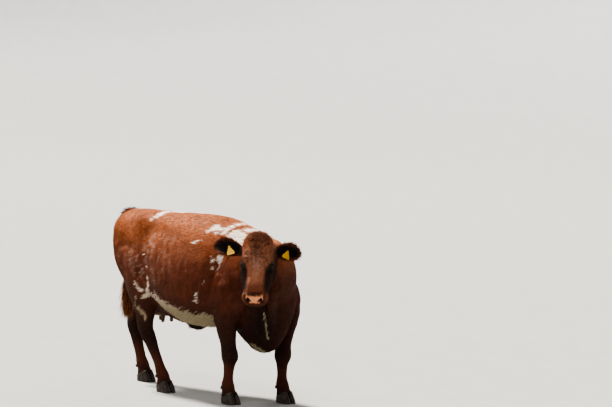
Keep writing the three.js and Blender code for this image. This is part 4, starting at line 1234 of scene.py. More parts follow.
def setUp(tree, node, values):
    # a value that is a socket is linked; any other is set on the node itself or on its input
    for key, value in values.items():
        if isinstance(value, bpy.types.NodeSocket):
            tree.links.new(value, node.inputs[inputName(key)])
        elif hasattr(node, key):
            setattr(node, key, value)
        else:
            node.inputs[inputName(key)].default_value = value
    return node


def newMaterial(name):
    # the material, a way to add a node to it and a way to set its shader's inputs
    made = bpy.data.materials.new(name)
    made.use_nodes = True
    tree = made.node_tree

    def add(kind, **values):
        return setUp(tree, tree.nodes.new(kind), values)

    def shade(**values):
        setUp(tree, tree.nodes["Principled BSDF"], values)
    return made, add, shade


def objectPlace(add):
    # where each point is, in metres
    return add("ShaderNodeTexCoord").outputs["Object"]


def between(add, source, low, high):
    # low + (high - low) * source
    return add("ShaderNodeMapRange", Value=source.outputs[0], To_Min=low, To_Max=high).outputs[0]


def tinted(add, level):
    # the points' own colour times the level
    tint = add("ShaderNodeAttribute", attribute_name="tint").outputs["Color"]
    return add("ShaderNodeVectorMath", operation="SCALE", input0=tint, Scale=level).outputs[0]


def furMaterial(name, grain, roughness, bump, barePatches=False):
    # point colour times fine noise; streaks of hair as bump; rougher where the noise is high. With bare
    # patches it is smoother and pebbled where the attribute bare says that no hair grows
    made, add, shade = newMaterial(name)
    place = objectPlace(add)
    fine = add("ShaderNodeTexNoise", Vector=place, Scale=grain, Detail=6.0, Roughness=0.65)
    coarse = add("ShaderNodeTexNoise", Vector=place, Scale=34.0, Detail=4.0)
    level = add("ShaderNodeMath", operation="MULTIPLY", input0=between(add, fine, 0.62, 1.42),
                input1=between(add, coarse, 0.82, 1.18))
    rough = between(add, fine, roughness - 0.1, roughness + 0.12)
    surface = add("ShaderNodeBump", Height=fine.outputs[0], Strength=0.6, Distance=bump)
    if barePatches:
        bare = add("ShaderNodeAttribute", attribute_name="bare").outputs["Fac"]
        pebbles = add("ShaderNodeTexVoronoi", Vector=place, Scale=300.0)
        drop = add("ShaderNodeMath", operation="MULTIPLY", input0=pebbles.outputs["Distance"], input1=bare)
        surface = add("ShaderNodeBump", invert=True, Height=drop.outputs[0], Normal=surface.outputs[0],
                      Strength=0.5, Distance=0.0012)
        rough = add("ShaderNodeMapRange", Value=bare, To_Min=rough, To_Max=0.38).outputs[0]
    shade(Base_Color=tinted(add, level.outputs[0]), Roughness=rough, Normal=surface.outputs[0],
          Specular_IOR_Level=0.22, Sheen_Weight=0.05, Sheen_Roughness=0.5, Sheen_Tint=(1.0, 0.75, 0.55, 1))
    return made


def speckled(add, place, scale, detail, first, second, low=0.0, high=1.0):
    # two colours mixed by noise, the first below low and the second above high
    ramp = add("ShaderNodeValToRGB",
               Fac=add("ShaderNodeTexNoise", Vector=place, Scale=scale, Detail=detail).outputs[0])
    for element, position, tint in zip(ramp.color_ramp.elements, (low, high), (first, second)):
        element.position, element.color = position, (*tint, 1)
    return ramp.outputs[0]


def plainMaterial(name, first, second, scale, roughness, bump):
    # two colours mixed by noise, a bump from a finer one
    made, add, shade = newMaterial(name)
    place = objectPlace(add)
    fine = add("ShaderNodeTexNoise", Vector=place, Scale=scale * 9, Detail=4.0)
    surface = add("ShaderNodeBump", Height=fine.outputs[0], Strength=0.4, Distance=bump)
    shade(Base_Color=speckled(add, place, scale, 5.0, first, second, 0.35, 0.68), Normal=surface.outputs[0],
          Roughness=between(add, fine, roughness - 0.08, roughness + 0.1))
    return made


def eyeMaterial():
    # point colour times very fine noise under a thin clear layer
    made, add, shade = newMaterial("eyeball")
    fine = add("ShaderNodeTexNoise", Vector=objectPlace(add), Scale=900.0, Detail=3.0)
    shade(Base_Color=tinted(add, between(add, fine, 0.7, 1.3)), Roughness=between(add, fine, 0.12, 0.22),
          Coat_Weight=0.18, Coat_Roughness=0.03, Specular_IOR_Level=0.15)
    return made


# the skin itself

(skinPoints, skinQuads, skinTriangles), skinZone = assembleSkin()
tone, white, bare = paint(skinPoints, skinZone)
skinMesh = meshOf("skin", skinPoints, skinQuads, skinTriangles)
# painted shade: where hair grows over it the skin is 0.8 as bright; bare skin keeps its full tone
under = mix(tone, paleTone(skinPoints), white * 0.75)
attribute(skinMesh, "tint", under * (0.8 + 0.2 * bare[:, None]))
attribute(skinMesh, "bare", bare)
legNodes = [f"{name}_{form}" for name in legs["lines"] for form in ("leg", "shank")]
skinFinish = furMaterial("cowSkin", 520.0, 0.7, 0.0012, barePatches=True)
skinPiece = pieceOf(skinMesh, skinFinish, "red_coat", "trunk", "neck", "head", "ear_right", "ear_left",
                    "udder", "tail", *legNodes)
print("skin", len(skinPoints), "points", len(skinMesh.polygons), "faces")
unwrap(skinPiece)
print("unwrapped")


# coat: closed spindles of hair rooted in the skin

def skinField(mesh, zone):
    # triangles of the skin with their points, normals and places on the unwrap, in the cow's millimetres
    mesh.calc_loop_triangles()
    corners, loops = (readArray(mesh.loop_triangles, key, 3, np.int32) for key in ("vertices", "loops"))
    return {"points": pointsOf(mesh), "normals": readArray(mesh.vertex_normals, "vector", 3), "zone": zone,
            "corners": corners, "uv": readArray(mesh.uv_layers["OFBake"].data, "uv", 2)[loops]}


def scatter(field, densityOf):
    # roots at random, area * density(middle) of them on each triangle on average
    places = field["points"][field["corners"]]
    area = np.linalg.norm(np.cross(places[:, 1] - places[:, 0], places[:, 2] - places[:, 0]), axis=1) / 2
    zone = field["zone"][field["corners"][:, 0]]
    expected = area * densityOf(places.mean(1), zone) * share
    counts = np.floor(expected + dice.random(len(expected))).astype(int)
    index = np.repeat(np.arange(len(counts)), counts)
    a, b = dice.random((2, len(index)))
    flip = a + b > 1
    a, b = np.where(flip, 1 - a, a), np.where(flip, 1 - b, b)
    weights = np.stack([1 - a - b, a, b], -1)[..., None]
    return {"root": (places[index] * weights).sum(1), "zone": zone[index],
            "up": unit((field["normals"][field["corners"][index]] * weights).sum(1)),
            "uv": (field["uv"][index] * weights).sum(1)}


tuft = {    # along t, 0 at the root and 1 at the tip; painted shade makes each tuft darker at its root and lighter at its tip
    "taper": 0.75, "taperFrom": 1.7, "rootWidth": 0.55, "fullBy": 0.4,
    "rootShade": 0.92, "shade": (0.96, 0.10), "tipShade": 1.08,    # shade between the ends: 0.96 + 0.10 * t
    "patch": 0.003,    # of the unwrap, across one tuft
}


def tuftFaces(rings):
    # a fan of three at the root and at the tip, quads between the rings of three points
    fans = [[0, 1 + (j + 1) % 3, 1 + j] for j in range(3)]
    fans += [[3 * rings + 1, 3 * rings - 2 + j, 3 * rings - 2 + (j + 1) % 3] for j in range(3)]
    quads = [[1 + 3 * r + j, 1 + 3 * r + (j + 1) % 3, 4 + 3 * r + (j + 1) % 3, 4 + 3 * r + j]
             for r in range(rings - 1) for j in range(3)]
    return np.array(fans), np.array(quads).reshape(-1, 4)


def growHair(name, seeds, ways, lengths, widths, rise, fall, swirl, colours, slot, rings=2, flat=0.5,
             sink=1.2, nodes=()):
    # the path turns in small steps: first rise above the way it lies, then fall back, and swirl sideways;
    # each ring is a triangle of width w * (1 - t^taperFrom)^taper
    root, up = seeds["root"], seeds["up"]
    way = unit(ways - up * (ways * up).sum(-1, keepdims=True))
    count, steps = len(root), rings + 1
    side = np.cross(up, way)
    middle = (np.arange(steps) + 0.5) / steps
    pitch = rise[:, None] + (fall - rise)[:, None] * middle
    turn = swirl[:, None] * middle
    direction = (way[:, None] * (np.cos(pitch) * np.cos(turn))[..., None]
                 + up[:, None] * np.sin(pitch)[..., None]
                 + side[:, None] * (np.cos(pitch) * np.sin(turn))[..., None])
    moves = direction * (lengths / steps)[:, None, None]
    path = root[:, None] - up[:, None] * sink + np.cumsum(moves, axis=1)
    t = (np.arange(rings) + 1) / steps
    narrowing = np.clip(1 - t ** tuft["taperFrom"], 0, 1) ** tuft["taper"]
    filling = tuft["rootWidth"] + (1 - tuft["rootWidth"]) * smooth(t, 0, tuft["fullBy"])
    width = widths[:, None] / 2 * narrowing * filling
    ahead = direction[:, :-1]
    across = unit(np.cross(up[:, None], ahead))
    over = np.cross(ahead, across)
    angle = np.radians([90, 210, 330])
    ring = (path[:, :-1, None] + across[:, :, None] * (width[..., None] * np.cos(angle))[..., None]
            + over[:, :, None] * (width[..., None] * flat * np.sin(angle))[..., None])
    points = np.concatenate([(root - up * sink)[:, None], ring.reshape(count, -1, 3), path[:, -1:]], 1)
    fans, quads = tuftFaces(rings)
    first = points[0]
    a, b, c = (first[fans[:, k]] for k in range(3))
    if (np.cross(b - a, c - a) * (a - first.mean(0))).sum() < 0:    # turned to point outwards
        fans, quads = fans[:, ::-1], quads[:, ::-1]
    starts = (np.arange(count) * points.shape[1])[:, None, None]
    fans, quads = (fans + starts).reshape(-1, 3), (quads + starts).reshape(-1, 4)
    mesh = meshOf(name, points.reshape(-1, 3), fans, quads)
    # painted shade along each tuft: darker at its root, lighter at its tip
    base, gain = tuft["shade"]
    shade = np.concatenate([[tuft["rootShade"]], np.repeat(base + gain * t, 3), [tuft["tipShade"]]])
    attribute(mesh, "tint", (colours[:, None] * shade[None, :, None]).reshape(-1, 3))
    spot = np.concatenate([[[0.5, 0]], np.stack(np.meshgrid([0, 0.5, 1], t), -1).reshape(-1, 2), [[0.5, 1]]])
    uv = (seeds["uv"][:, None] + (spot - 0.5) * tuft["patch"]).reshape(-1, 2)
    corners = readArray(mesh.loops, "vertex_index", kind=np.int32)
    mesh.uv_layers.new(name="OFBake").data.foreach_set("uv", uv[corners].astype(np.float32).ravel())
    return pieceOf(mesh, furCoat, slot, *nodes)


def nearestPlace(points, zone):
    # the unwrap's place at the middle of the closest triangle of that part of the skin
    chosen = np.nonzero(field["zone"][field["corners"][:, 0]] == zone)[0]
    middles = field["points"][field["corners"][chosen]].mean(1)
    closest = [np.argmin(((middles - point) ** 2).sum(1)) for point in points]
    return field["uv"][chosen[closest]].mean(1)


def pick(seeds, chosen):
    # some of the roots, with all that is known of them
    return {key: value[chosen] for key, value in seeds.items()}


def lieOf(points, zone):
    # the way the hair lies: back and down on the trunk, down the shoulders, thighs and legs, away from the
    # head on the neck, out from the whorl on the forehead and down the face
    x, y, z = points.T
    side = np.sign(y)
    way = np.stack([0 * x - 1, 0.05 * side, -0.32 + 0 * x], -1)
    fore = smooth(x, 240, 420) * (1 - smooth(z, 1120, 1280))
    way = mix(way, np.array([-0.45, 0, -1.0]), fore)
    rump = (1 - smooth(x, -640, -480)) * (1 - smooth(z, 1150, 1290))
    way = mix(way, np.array([-0.35, 0, -1.0]), rump)
    low = 1 - smooth(z, 520, 700)
    onBelly = low * smooth(z, 470, 540) * smooth(x, -330, -200) * (1 - smooth(x, 200, 300))
    way = mix(way, np.array([-0.12, 0, -1.0]), low)
    way = mix(way, np.array([-1.0, 0, -0.5]), onBelly)
    onNeck = smooth(x, 560, 700) * smooth(z, 560, 700)
    way = mix(way, np.array([-0.55, 0.45, -0.7]), onNeck)
    local = toHead(points)
    inHead = (headness(points) * (zone == zones["body"]))[:, None]
    a, b, c = local.T
    front = smooth(c, -70, -25)
    radial = unit(np.stack([a - 150, b * 1.1, 0 * a], -1) + np.array([14.0, 0, 0]))
    radial = mix(radial, np.array([1.0, 0, 0]), smooth(a, 230, 330))
    radial = mix(radial, np.stack([0 * a + 0.5, np.sign(b), -0.2 + 0 * a], -1), 1 - smooth(a, 40, 110))
    cheek = np.stack([0.45 + 0 * a, 0 * a, -1 + 0 * a], -1)
    face = mix(cheek, radial, front)
    way = way * (1 - inHead) + (face @ headTurn.T) * inHead
    for earSide, name in earSides:
        out = earAxes(earSide)[0] @ headTurn.T
        way = np.where((zone == zones[name])[:, None], out, way)
    onTail = (zone == zones["tail"])[:, None]
    way = np.where(onTail, np.where(z[:, None] > 1290, [-1.0, 0, -0.3], [0.05, 0, -1.0]), way)
    return unit(way)


coat = {
    "overlap": 1.68,    # tufts over each point of the skin, on average
    "bodyLength": 30, "bodyWidth": 3.8, "legLength": 15, "legWidth": 3.8, "headLength": 14, "headWidth": 2.7,
    "earLength": 17, "earWidth": 2.8, "tailLength": 22, "tailWidth": 3.6,
    "legTop": 560,    # below it a tuft counts as a leg's
    "eyeGap": 24.5,    # no roots nearer than this to the eyeball's middle
    "perPiece": 15500,    # most tufts in one piece
}


def hairSize(points, zone):
    # length and width by place: smallest on the face and feet
    z = points[:, 2]
    low = 1 - smooth(z, 420, 640)
    local = toHead(points)
    inHead = headness(points) * (zone == zones["body"])
    small = 1 - 0.35 * smooth(local[:, 0], 330, 440) * inHead
    length = (coat["bodyLength"] + (coat["legLength"] - coat["bodyLength"]) * low)
    width = coat["bodyWidth"] + (coat["legWidth"] - coat["bodyWidth"]) * low
    length = (length + (coat["headLength"] - length) * inHead) * small
    width = (width + (coat["headWidth"] - width) * inHead) * small
    onEar = np.isin(zone, (zones["earRight"], zones["earLeft"]))
    length = np.where(onEar, coat["earLength"], length)
    width = np.where(onEar, coat["earWidth"], width)
    onTail = zone == zones["tail"]
    return np.where(onTail, coat["tailLength"], length), np.where(onTail, coat["tailWidth"], width)


def coverDensity(points, zone):
    # enough tufts that they overlap: overlap / (length * width), none on bare skin, lids or teats
    length, width = hairSize(points, zone)
    _, _, skinBare = paint(points, zone)
    hairy = (zone != zones["lids"]) & (zone != zones["teats"])
    return coat["overlap"] / (length * width) * hairy * (1 - smooth(skinBare, 0.15, 0.6))


def hairColours(seeds, spread=0.07):
    # white by chance in the share of each place, each tuft a little lighter or darker than the next
    tone, white, _ = paint(seeds["root"], seeds["zone"])
    isWhite = dice.random(len(tone)) < white
    strength = 0.45 + 0.55 * smooth(white, 0.2, 0.45)
    made = np.where(isWhite[:, None], mix(tone, paleTone(seeds["root"]), strength), tone)
    return made * (1 + spread * dice.normal(size=(len(tone), 1)))


field = skinField(skinMesh, skinZone)
furCoat = furMaterial("cowCoat", 900.0, 0.70, 0.0006)


def growCoat():
    # the short coat over all the skin, each part of the body in pieces along it
    cover = scatter(field, coverDensity)
    gone = np.zeros(len(cover["root"]), bool)
    for side in (-1, 1):
        gone |= np.linalg.norm(toHead(cover["root"]) - eyeMiddle(side), axis=1) < coat["eyeGap"]
    cover = pick(cover, ~gone)
    root, zone = cover["root"], cover["zone"]
    count, onHead = len(root), isHead(root)
    length, width = hairSize(root, zone)
    way = lieOf(root, zone) + dice.normal(0, 1, (count, 3)) * np.where(onHead, 0.16, 0.05)[:, None]
    tints = hairColours(cover)
    single = (paint(root, zone)[1] < 0.3) & (tints.mean(1) > 0.2) & ~onHead    # pale hairs among the red
    length = length * dice.uniform(0.75, 1.25, count)
    width = width * dice.uniform(0.8, 1.2, count)
    length, width = np.where(single, 0.55 * length, length), np.where(single, 0.8 * width, width)
    rise = np.where(onHead, dice.uniform(0.12, 0.38, count), dice.uniform(0.05, 0.13, count))
    fall = rise - np.where(onHead, dice.uniform(0.20, 0.45, count), dice.uniform(0.06, 0.18, count))
    swirl = dice.normal(0, 1, count) * np.where(onHead, 0.3, 0.09)
    group = np.where(root[:, 2] < coat["legTop"], 2, 3)
    group = np.where(zone >= zones["earRight"], 1, group)
    group = np.where(onHead & (zone == zones["body"]), 0, group)
    # part, the axis that its pieces follow, and how flat its tufts are and how deep they are sunk
    kinds = (("head", 0, 0.5, 1.2), ("ears", 0, 0.5, 1.2), ("legs", 1, 0.34, 0.6), ("body", 0, 0.34, 0.6))
    for number, (label, axis, flat, sink) in enumerate(kinds):
        members = np.nonzero(group == number)[0]
        members = members[np.argsort(root[members, axis])]
        pieces = max(1, math.ceil(len(members) / coat["perPiece"]))
        for index, part in enumerate(np.array_split(members, pieces)):
            growHair(f"coat_{label}_{index + 1}", pick(cover, part), way[part], length[part], width[part],
                     rise[part], fall[part], swirl[part], tints[part], "red_coat", flat=flat, sink=sink)
    print("coat", count, "tufts")


growCoat()


def longHair(name, densityOf, lengths, width, rise, fall, swirl, rings, tone, way=None, slot="red_coat",
             spread=0.2, flat=0.6):
    # a second sort of hair over the coat: roots from densityOf, everything drawn between the pairs given
    seeds = scatter(field, densityOf)
    count = len(seeds["root"])
    ways = lieOf(seeds["root"], seeds["zone"]) if way is None else way(seeds)
    ways = ways + dice.normal(0, 0.25, (count, 3))
    if tone is None:
        tints = hairColours(seeds, spread)
    else:
        tints = colour(tone) * (1 + spread * dice.normal(size=(count, 1)))
    up = dice.uniform(*rise, count)
    return growHair(name, seeds, ways, dice.uniform(*lengths, count), np.full(count, float(width)), up,
                    up + dice.uniform(*fall, count),
                    dice.uniform(*swirl, count) * dice.choice([-1, 1], count),
                    np.clip(tints, 0.001, 1), slot, rings, flat=flat)


# where the long hair grows, in tufts to the square millimetre

def onPoll(points, zone):
    # 0.030 * bell over the top of the head
    return 0.030 * (zone == zones["body"]) * isHead(points) * bell(toHead(points), (6, 0, 0), (46, 92, 60))


def onForehead(points, zone):
    # 0.024 * bell between poll and eyes, ending above the eyes
    local = toHead(points)
    rounded = bell(local, (118, 0, 10), (70, 72, 60)) * (1 - smooth(local[:, 0], 190, 240))
    return 0.024 * (zone == zones["body"]) * isHead(points) * rounded


def onEarRim(points, zone):
    # 0.05 near the leaf's two edges and its tip
    local = toHead(points)
    total = np.zeros(len(points))
    for side, name in earSides:
        along, wide, _ = earPlace(local, side)
        rim = np.maximum(smooth(np.abs(wide), 34, 50), smooth(along, 0.82, 0.94)) * smooth(along, 0.12, 0.3)
        total = np.maximum(total, 0.05 * rim * (zone == zones[name]))
    return total


def earWay(seeds):
    # outwards from the middle of the leaf, leaning towards its tip
    local = toHead(seeds["root"])
    ways = np.zeros_like(local)
    for side, name in earSides:
        out, across, facing, root = earAxes(side)
        wide = (local - root) @ across
        here = seeds["zone"] == zones[name]
        lean = across * (np.sign(wide) * smooth(np.abs(wide), 10, 44))[:, None] + out * 0.75 - facing * 0.15
        ways = np.where(here[:, None], lean, ways)
    return ways @ headTurn.T


def inEar(points, zone):
    # 0.012 inside the hollow, past its foot
    local = toHead(points)
    total = np.zeros(len(points))
    for side, name in earSides:
        along, _, inner = earPlace(local, side)
        total = np.maximum(total, 0.012 * (zone == zones[name]) * inner * smooth(along, 0.08, 0.2))
    return total


def anyWay(seeds):
    # curls with no common direction
    return dice.normal(0, 1, seeds["root"].shape)


def onBelly(points, zone):
    # 0.0042 below a line along the belly, from the flank to the elbow, but not on the bag
    x, _, z = points.T
    line = np.interp(x, [-330, -100, 200, 300], [640, 560, 560, 560])
    under = (z < line) * (z > 470) * smooth(x, -330, -260) * (1 - smooth(x, 250, 320))
    return 0.0042 * (zone == zones["body"]) * under * (1 - smooth(onBag(points), 0.2, 0.5))


def onBrisket(points, zone):
    # 0.005 * bell under the brisket, cut off at its top
    under = bell(points, (620, -20, 400), (180, 130, 70))
    return 0.005 * (zone == zones["body"]) * np.clip(under * 1.4, 0, 1)


def onTailHead(points, zone):
    # 0.016 * bell where the tail begins
    return 0.016 * (zone != zones["lids"]) * bell(points, (-790, -6, 1316), (74, 44, 40))


def onCoronet(points, zone):
    # 0.05 in a band just above the hooves
    z = points[:, 2]
    return 0.05 * (zone == zones["body"]) * smooth(z, 50, 56) * (1 - smooth(z, 72, 84))


def fixedWay(x, z):
    # one way for every root, without a part to the side
    return lambda seeds: np.array([x, 0, z]) + 0 * seeds["root"]


lash = {"length": (8, 14), "width": 0.9,
        "rows": ((12, 168, 1, 150), (200, 340, -1, 60))}    # from and to round the eye, 1 above, number


def lashes():
    # dark hair on the upper lid and less of it on the lower, just outside the lids' opening
    roots, ups, ways = [], [], []
    for side in (-1, 1):
        look, corner, up = eyeAxes(side)
        for low, high, sign, number in lash["rows"]:
            a = np.radians(dice.uniform(low, high, number))[:, None]
            half = eye["openUp"] if sign > 0 else eye["openDown"]
            edge = np.hypot(eye["openWide"] * np.cos(a), half * np.sin(a)) + dice.uniform(3, 7, (number, 1))
            edge = np.radians(edge)
            rim = np.cos(a) * corner + np.sin(a) * up
            outwards = look * np.cos(edge) + rim * np.sin(edge)
            roots.append(eyeMiddle(side) + outwards * (eyePlace["radius"] + eye["lidThick"] - 0.5))
            ups.append(outwards)
            ways.append(outwards * 0.9 + rim * (0.55 if sign > 0 else 0.9) + up * (-0.35 if sign > 0 else 0))
    roots, ups, ways = (np.concatenate(kind) for kind in (roots, ups, ways))
    count = len(roots)
    roots = fromHead(roots)
    seeds = {"root": roots, "up": ups @ headTurn.T, "uv": nearestPlace(roots, zones["lids"])}
    growHair("lashes", seeds, unit(ways) @ headTurn.T, dice.uniform(*lash["length"], count),
             np.full(count, lash["width"]), dice.uniform(0.5, 0.8, count), dice.uniform(0.0, 0.3, count),
             dice.normal(0, 0.2, count), np.tile(colour("black"), (count, 1)), "dark_coat", rings=3, sink=0.3)


# name, density, lengths, width, rise, fall, swirl, rings, colour (none: the coat's own), way, slot
longHair("curls_poll", onPoll, (24, 38), 3.6, (0.4, 1.0), (-1.5, -0.5), (0.6, 2.6), 4, None, anyWay,
         slot="dark_coat")
longHair("curls_forehead", onForehead, (15, 24), 2.8, (0.3, 0.6), (-1.2, -0.5), (0.5, 2.2), 3, None, anyWay)
lashes()
longHair("fringe_ears", onEarRim, (16, 30), 2.4, (0.0, 0.3), (-0.3, 0.2), (0.0, 0.5), 3, "red", earWay)
# painted shade: the hair in the ears near black like the hollow
longHair("hair_in_ears", inEar, (22, 40), 2.6, (0.3, 0.6), (-0.5, 0.0), (0.0, 0.5), 3, "inside", earWay)
longHair("hair_belly", onBelly, (24, 38), 4.4, (-0.1, 0.40), (-0.4, 0.1), (0.0, 0.4), 3, None,
         fixedWay(-0.6, -1.0))
longHair("hair_brisket", onBrisket, (22, 36), 4.4, (0.1, 0.4), (-0.5, 0.0), (0.0, 0.6), 3, None)
longHair("curls_tail", onTailHead, (26, 44), 3.4, (0.5, 1.0), (-1.0, -0.2), (0.4, 1.6), 4, "dark",
         slot="dark_coat")
longHair("fringe_feet", onCoronet, (12, 20), 3.0, (0.1, 0.3), (-0.2, 0.1), (0.0, 0.3), 2, "dark",
         fixedWay(0.0, -1.0), slot="dark_coat")


# tail switch: long locks on the lower tail and down the middle of the switch

switch = {"locks": 1900, "from": 620, "to": 800, "dockEnd": 715, "reach": 13, "long": (90, 280), "width": 4.0,
          "lowest": 454, "darkShare": 0.35}


def switchSeeds():
    # roots on a disc round the path, then straight down below the end of the dock
    drop = switch["from"] + (switch["to"] - switch["from"]) * dice.random(switch["locks"]) ** 0.8
    distance = np.minimum(drop, switch["dockEnd"])
    row = stationsAtValue(tail["dock"], distance)
    root = row[:, 1:4] - np.stack([0 * drop, 0 * drop, drop - distance], -1)
    angle = dice.uniform(0, 2 * math.pi, switch["locks"])
    outwards = np.stack([np.cos(angle), np.sin(angle), 0 * angle], -1)
    reach = switch["reach"] * dice.uniform(0.4, 1, len(drop))
    root = root + outwards * reach[:, None]
    return {"root": root, "up": outwards, "uv": nearestPlace(root, zones["tail"])}


def growSwitch():
    # each lock drawn between the two lengths, but ending above the lowest; paler down the switch, some dark
    seeds = switchSeeds()
    height = seeds["root"][:, 2]
    count = len(height)
    longest = np.maximum(height - switch["lowest"], 30)
    length = np.minimum(dice.uniform(*switch["long"], count), longest * dice.uniform(0.55, 1.0, count))
    pale = (1 - smooth(height, 600, 860)) * dice.uniform(0, 0.9, count)
    tint = mix(colour("tail")[None], colour("tailTip"), pale)
    tint = mix(tint, colour("dark"), (dice.random(count) < switch["darkShare"]) * 0.8)
    growHair("tail_switch_locks", seeds, np.array([0.0, 0, -1.0]) + dice.normal(0, 0.05, (count, 3)), length,
             np.full(count, switch["width"]), dice.uniform(0.1, 0.42, count), dice.uniform(-0.40, 0.0, count),
             dice.normal(0, 0.25, count), np.clip(tint * (1 + 0.2 * dice.normal(size=(count, 1))), 0.001, 1),
             "dark_coat", rings=6, nodes=("tail_switch",))


growSwitch()
print("long hair")


# eyes

eyeDetail = {
    "iris": 50, "pupilWide": 27, "pupilHigh": 12,    # degrees from the way it looks
    "bulge": 1.7, "bulgeReach": 36,    # cornea, mm and degrees
    # linear light
    "brown": (0.030, 0.012, 0.006), "white": (0.10, 0.065, 0.05), "black": (0.004, 0.004, 0.006),
}


def eyeBall(side):
    # rings of angle from the way the eye looks; radius(angle) = ball + bulge * exp(-(angle / bulgeReach)^4)
    look, corner, up = eyeAxes(side)
    angle = np.radians(np.linspace(0.6, 179, 90))
    turn = np.linspace(0, 2 * math.pi, 72, endpoint=False)
    bulge = np.exp(-(np.degrees(angle) / eyeDetail["bulgeReach"]) ** 4)
    radius = eyePlace["radius"] + eyeDetail["bulge"] * bulge
    rim = np.cos(turn)[:, None] * corner + np.sin(turn)[:, None] * up
    ways = look * np.cos(angle)[:, None, None] + rim[None] * np.sin(angle)[:, None, None]
    points, quads, caps = closedTube(eyeMiddle(side) + ways * radius[:, None, None])
    node = f"eye_{sideName(side)}"
    mesh = meshOf(f"{node}_ball", fromHead(points), quads, caps)
    away = unit(points - eyeMiddle(side))
    wide, high = (np.degrees(np.arcsin(np.clip(away @ axis, -1, 1))) for axis in (corner, up))
    reach = np.degrees(np.arccos(np.clip(away @ look, -1, 1)))
    pupil = 1 - smooth(np.hypot(wide / eyeDetail["pupilWide"], high / eyeDetail["pupilHigh"]), 0.9, 1.05)
    iris = 1 - smooth(reach, eyeDetail["iris"] - 2, eyeDetail["iris"] + 3)
    around = np.arctan2(high, wide)
    rays = 0.5 + 0.5 * np.sin(around * 60 + 3 * np.sin(around * 7))
    brown = np.array(eyeDetail["brown"])[None] * (0.7 + 0.6 * rays[:, None])
    white = np.array(eyeDetail["white"])[None] * (0.7 + 0.3 * rays[:, None])
    attribute(mesh, "tint", mix(mix(white, brown, iris), np.array(eyeDetail["black"]), pupil))
    return pieceOf(mesh, eyeShine, "eyeball", node)


eyeShine = eyeMaterial()
for eyeSide in (-1, 1):
    eyeBall(eyeSide)


# claws and dewclaws

claws = {    # [height, forward, back, out, in, shift forward]
    "stations": [[74, 42, 42, 21, 19, -2], [57, 50, 50, 26, 24, 0], [40, 57, 53, 28, 25, 5],
                 [22, 64, 56, 30, 26, 10], [6, 69, 57, 30, 26, 13], [1.5, 68, 56, 29.5, 25.5, 13.5],
                 [0, 64, 52, 27, 24, 13.5]],
    "spread": 28, "splay": 0.05, "ring": 6.5, "ringHeight": 0.45, "chipDepth": 0.7,
}


def clawSurface(line, side, outer):
    # level sections from the coronet to the sole, then growth rings and small chips along its lower edge
    _, footX, footY = stationsAtValue(line, np.array([float(legs["coronet"])]))[0]

    def section(rows):
        height, front, back, out, inside, shift = rows.T
        none = 0 * height
        tip = legs["coronetSlope"] * height / legs["coronet"]
        centre = np.stack([footX + shift, none + side * (footY + outer * claws["spread"]), height], -1)
        u = np.stack([none + 1, none + side * outer * claws["splay"], tip], -1)
        v = np.broadcast_to([0.0, side * outer, 0], centre.shape)
        return centre, u, v, front, back, out, inside, none + 2.4, none + 3

    grid = sweep(claws["stations"], section, 60, 84)
    x, z = grid[..., 0], grid[..., 2]
    uneven, chips = (waves(grid, size, seed) for size, seed in ((60, 71), (9, 72)))
    outwards = unit((grid - grid.mean(1, keepdims=True)) * (1, 1, 0))
    grows = np.sin(2 * math.pi * (z - 0.25 * (x - footX) * 0.3) / claws["ring"] + 2 * uneven)
    window = smooth(z, 4, 12) * (1 - smooth(z, 52, 60))
    chips = chips * (1 - smooth(z, 2, 14)) * smooth(z, 0.2, 1.2)
    return grid + outwards * (claws["ringHeight"] * grows * window + claws["chipDepth"] * chips)[..., None]


dewclaw = {"stations": [[-14, 12], [0, 13], [8, 13], [15, 10], [19, 6.5], [20.5, 3]],    # distance, radius
           "height": 120, "back": 36, "out": 22, "droop": 50, "spread": 18}


def dewclawSurface(line, side, outer):
    # a cone with a rounded end, pointing back, down and a little to the side
    _, x, y = stationsAtValue(line, np.array([float(dewclaw["height"])]))[0]
    base = np.array([x - dewclaw["back"], side * y + outer * side * dewclaw["out"], dewclaw["height"]])
    droop, spread = math.radians(dewclaw["droop"]), math.radians(dewclaw["spread"]) * outer * side
    outwards = np.array([-math.cos(droop) * math.cos(spread), math.sin(spread), -math.sin(droop)])
    across = unit(np.cross([0.0, 1, 0], outwards))
    up = np.cross(outwards, across)

    def section(rows):
        distance, radius = rows.T
        two = 2 + 0 * distance
        centre = base + outwards * distance[:, None]
        grown = radius * (1 + 0.03 * np.sin(distance * 1.6))
        return (centre, np.broadcast_to(across, centre.shape), np.broadcast_to(up, centre.shape),
                grown, grown, grown, grown, two, two)
    return sweep(dewclaw["stations"], section, 30, 36)


horn = plainMaterial("hoofHorn", (0.014, 0.010, 0.008), (0.055, 0.038, 0.028), 42.0, 0.42, 0.0005)
for name, _, side, line in eachLeg():
    for which, outer in (("outer", 1), ("inner", -1)):
        for form, make in (("claw", clawSurface), ("dewclaw", dewclawSurface)):
            points, quads, caps = closedTube(make(line, side, outer))
            node = f"{name}_{form}_{which}"
            pieceOf(meshOf(f"{node}_horn", points, quads, caps), horn, "hoof_horn", node)
print("claws")


# ear tags

tag = {
    "share": 0.5, "top": 2, "neck": 20, "flare": 10, "width": 56, "flareEnd": 46, "height": 66,
    "thickness": 3, "ahead": 27, "lean": 30, "tilt": 10, "pinRadius": 4, "buttonRadius": 13, "buttonDepth": 4,
    "behind": -16, "bend": 1.6, "corner": 6}


def tagPlace(side):
    # columns: along the ear, up the plate, out of the ear's inner face, turned by the lean; the pin's place
    out, across, facing, root = earAxes(side)
    basis = np.stack([out * side, -across, facing], 1)
    lean = math.radians(-side * tag["lean"])
    turn = np.array([[math.cos(lean), -math.sin(lean), 0], [math.sin(lean), math.cos(lean), 0], [0, 0, 1]])
    return basis @ turn, root + out * tag["share"] * ear["length"]


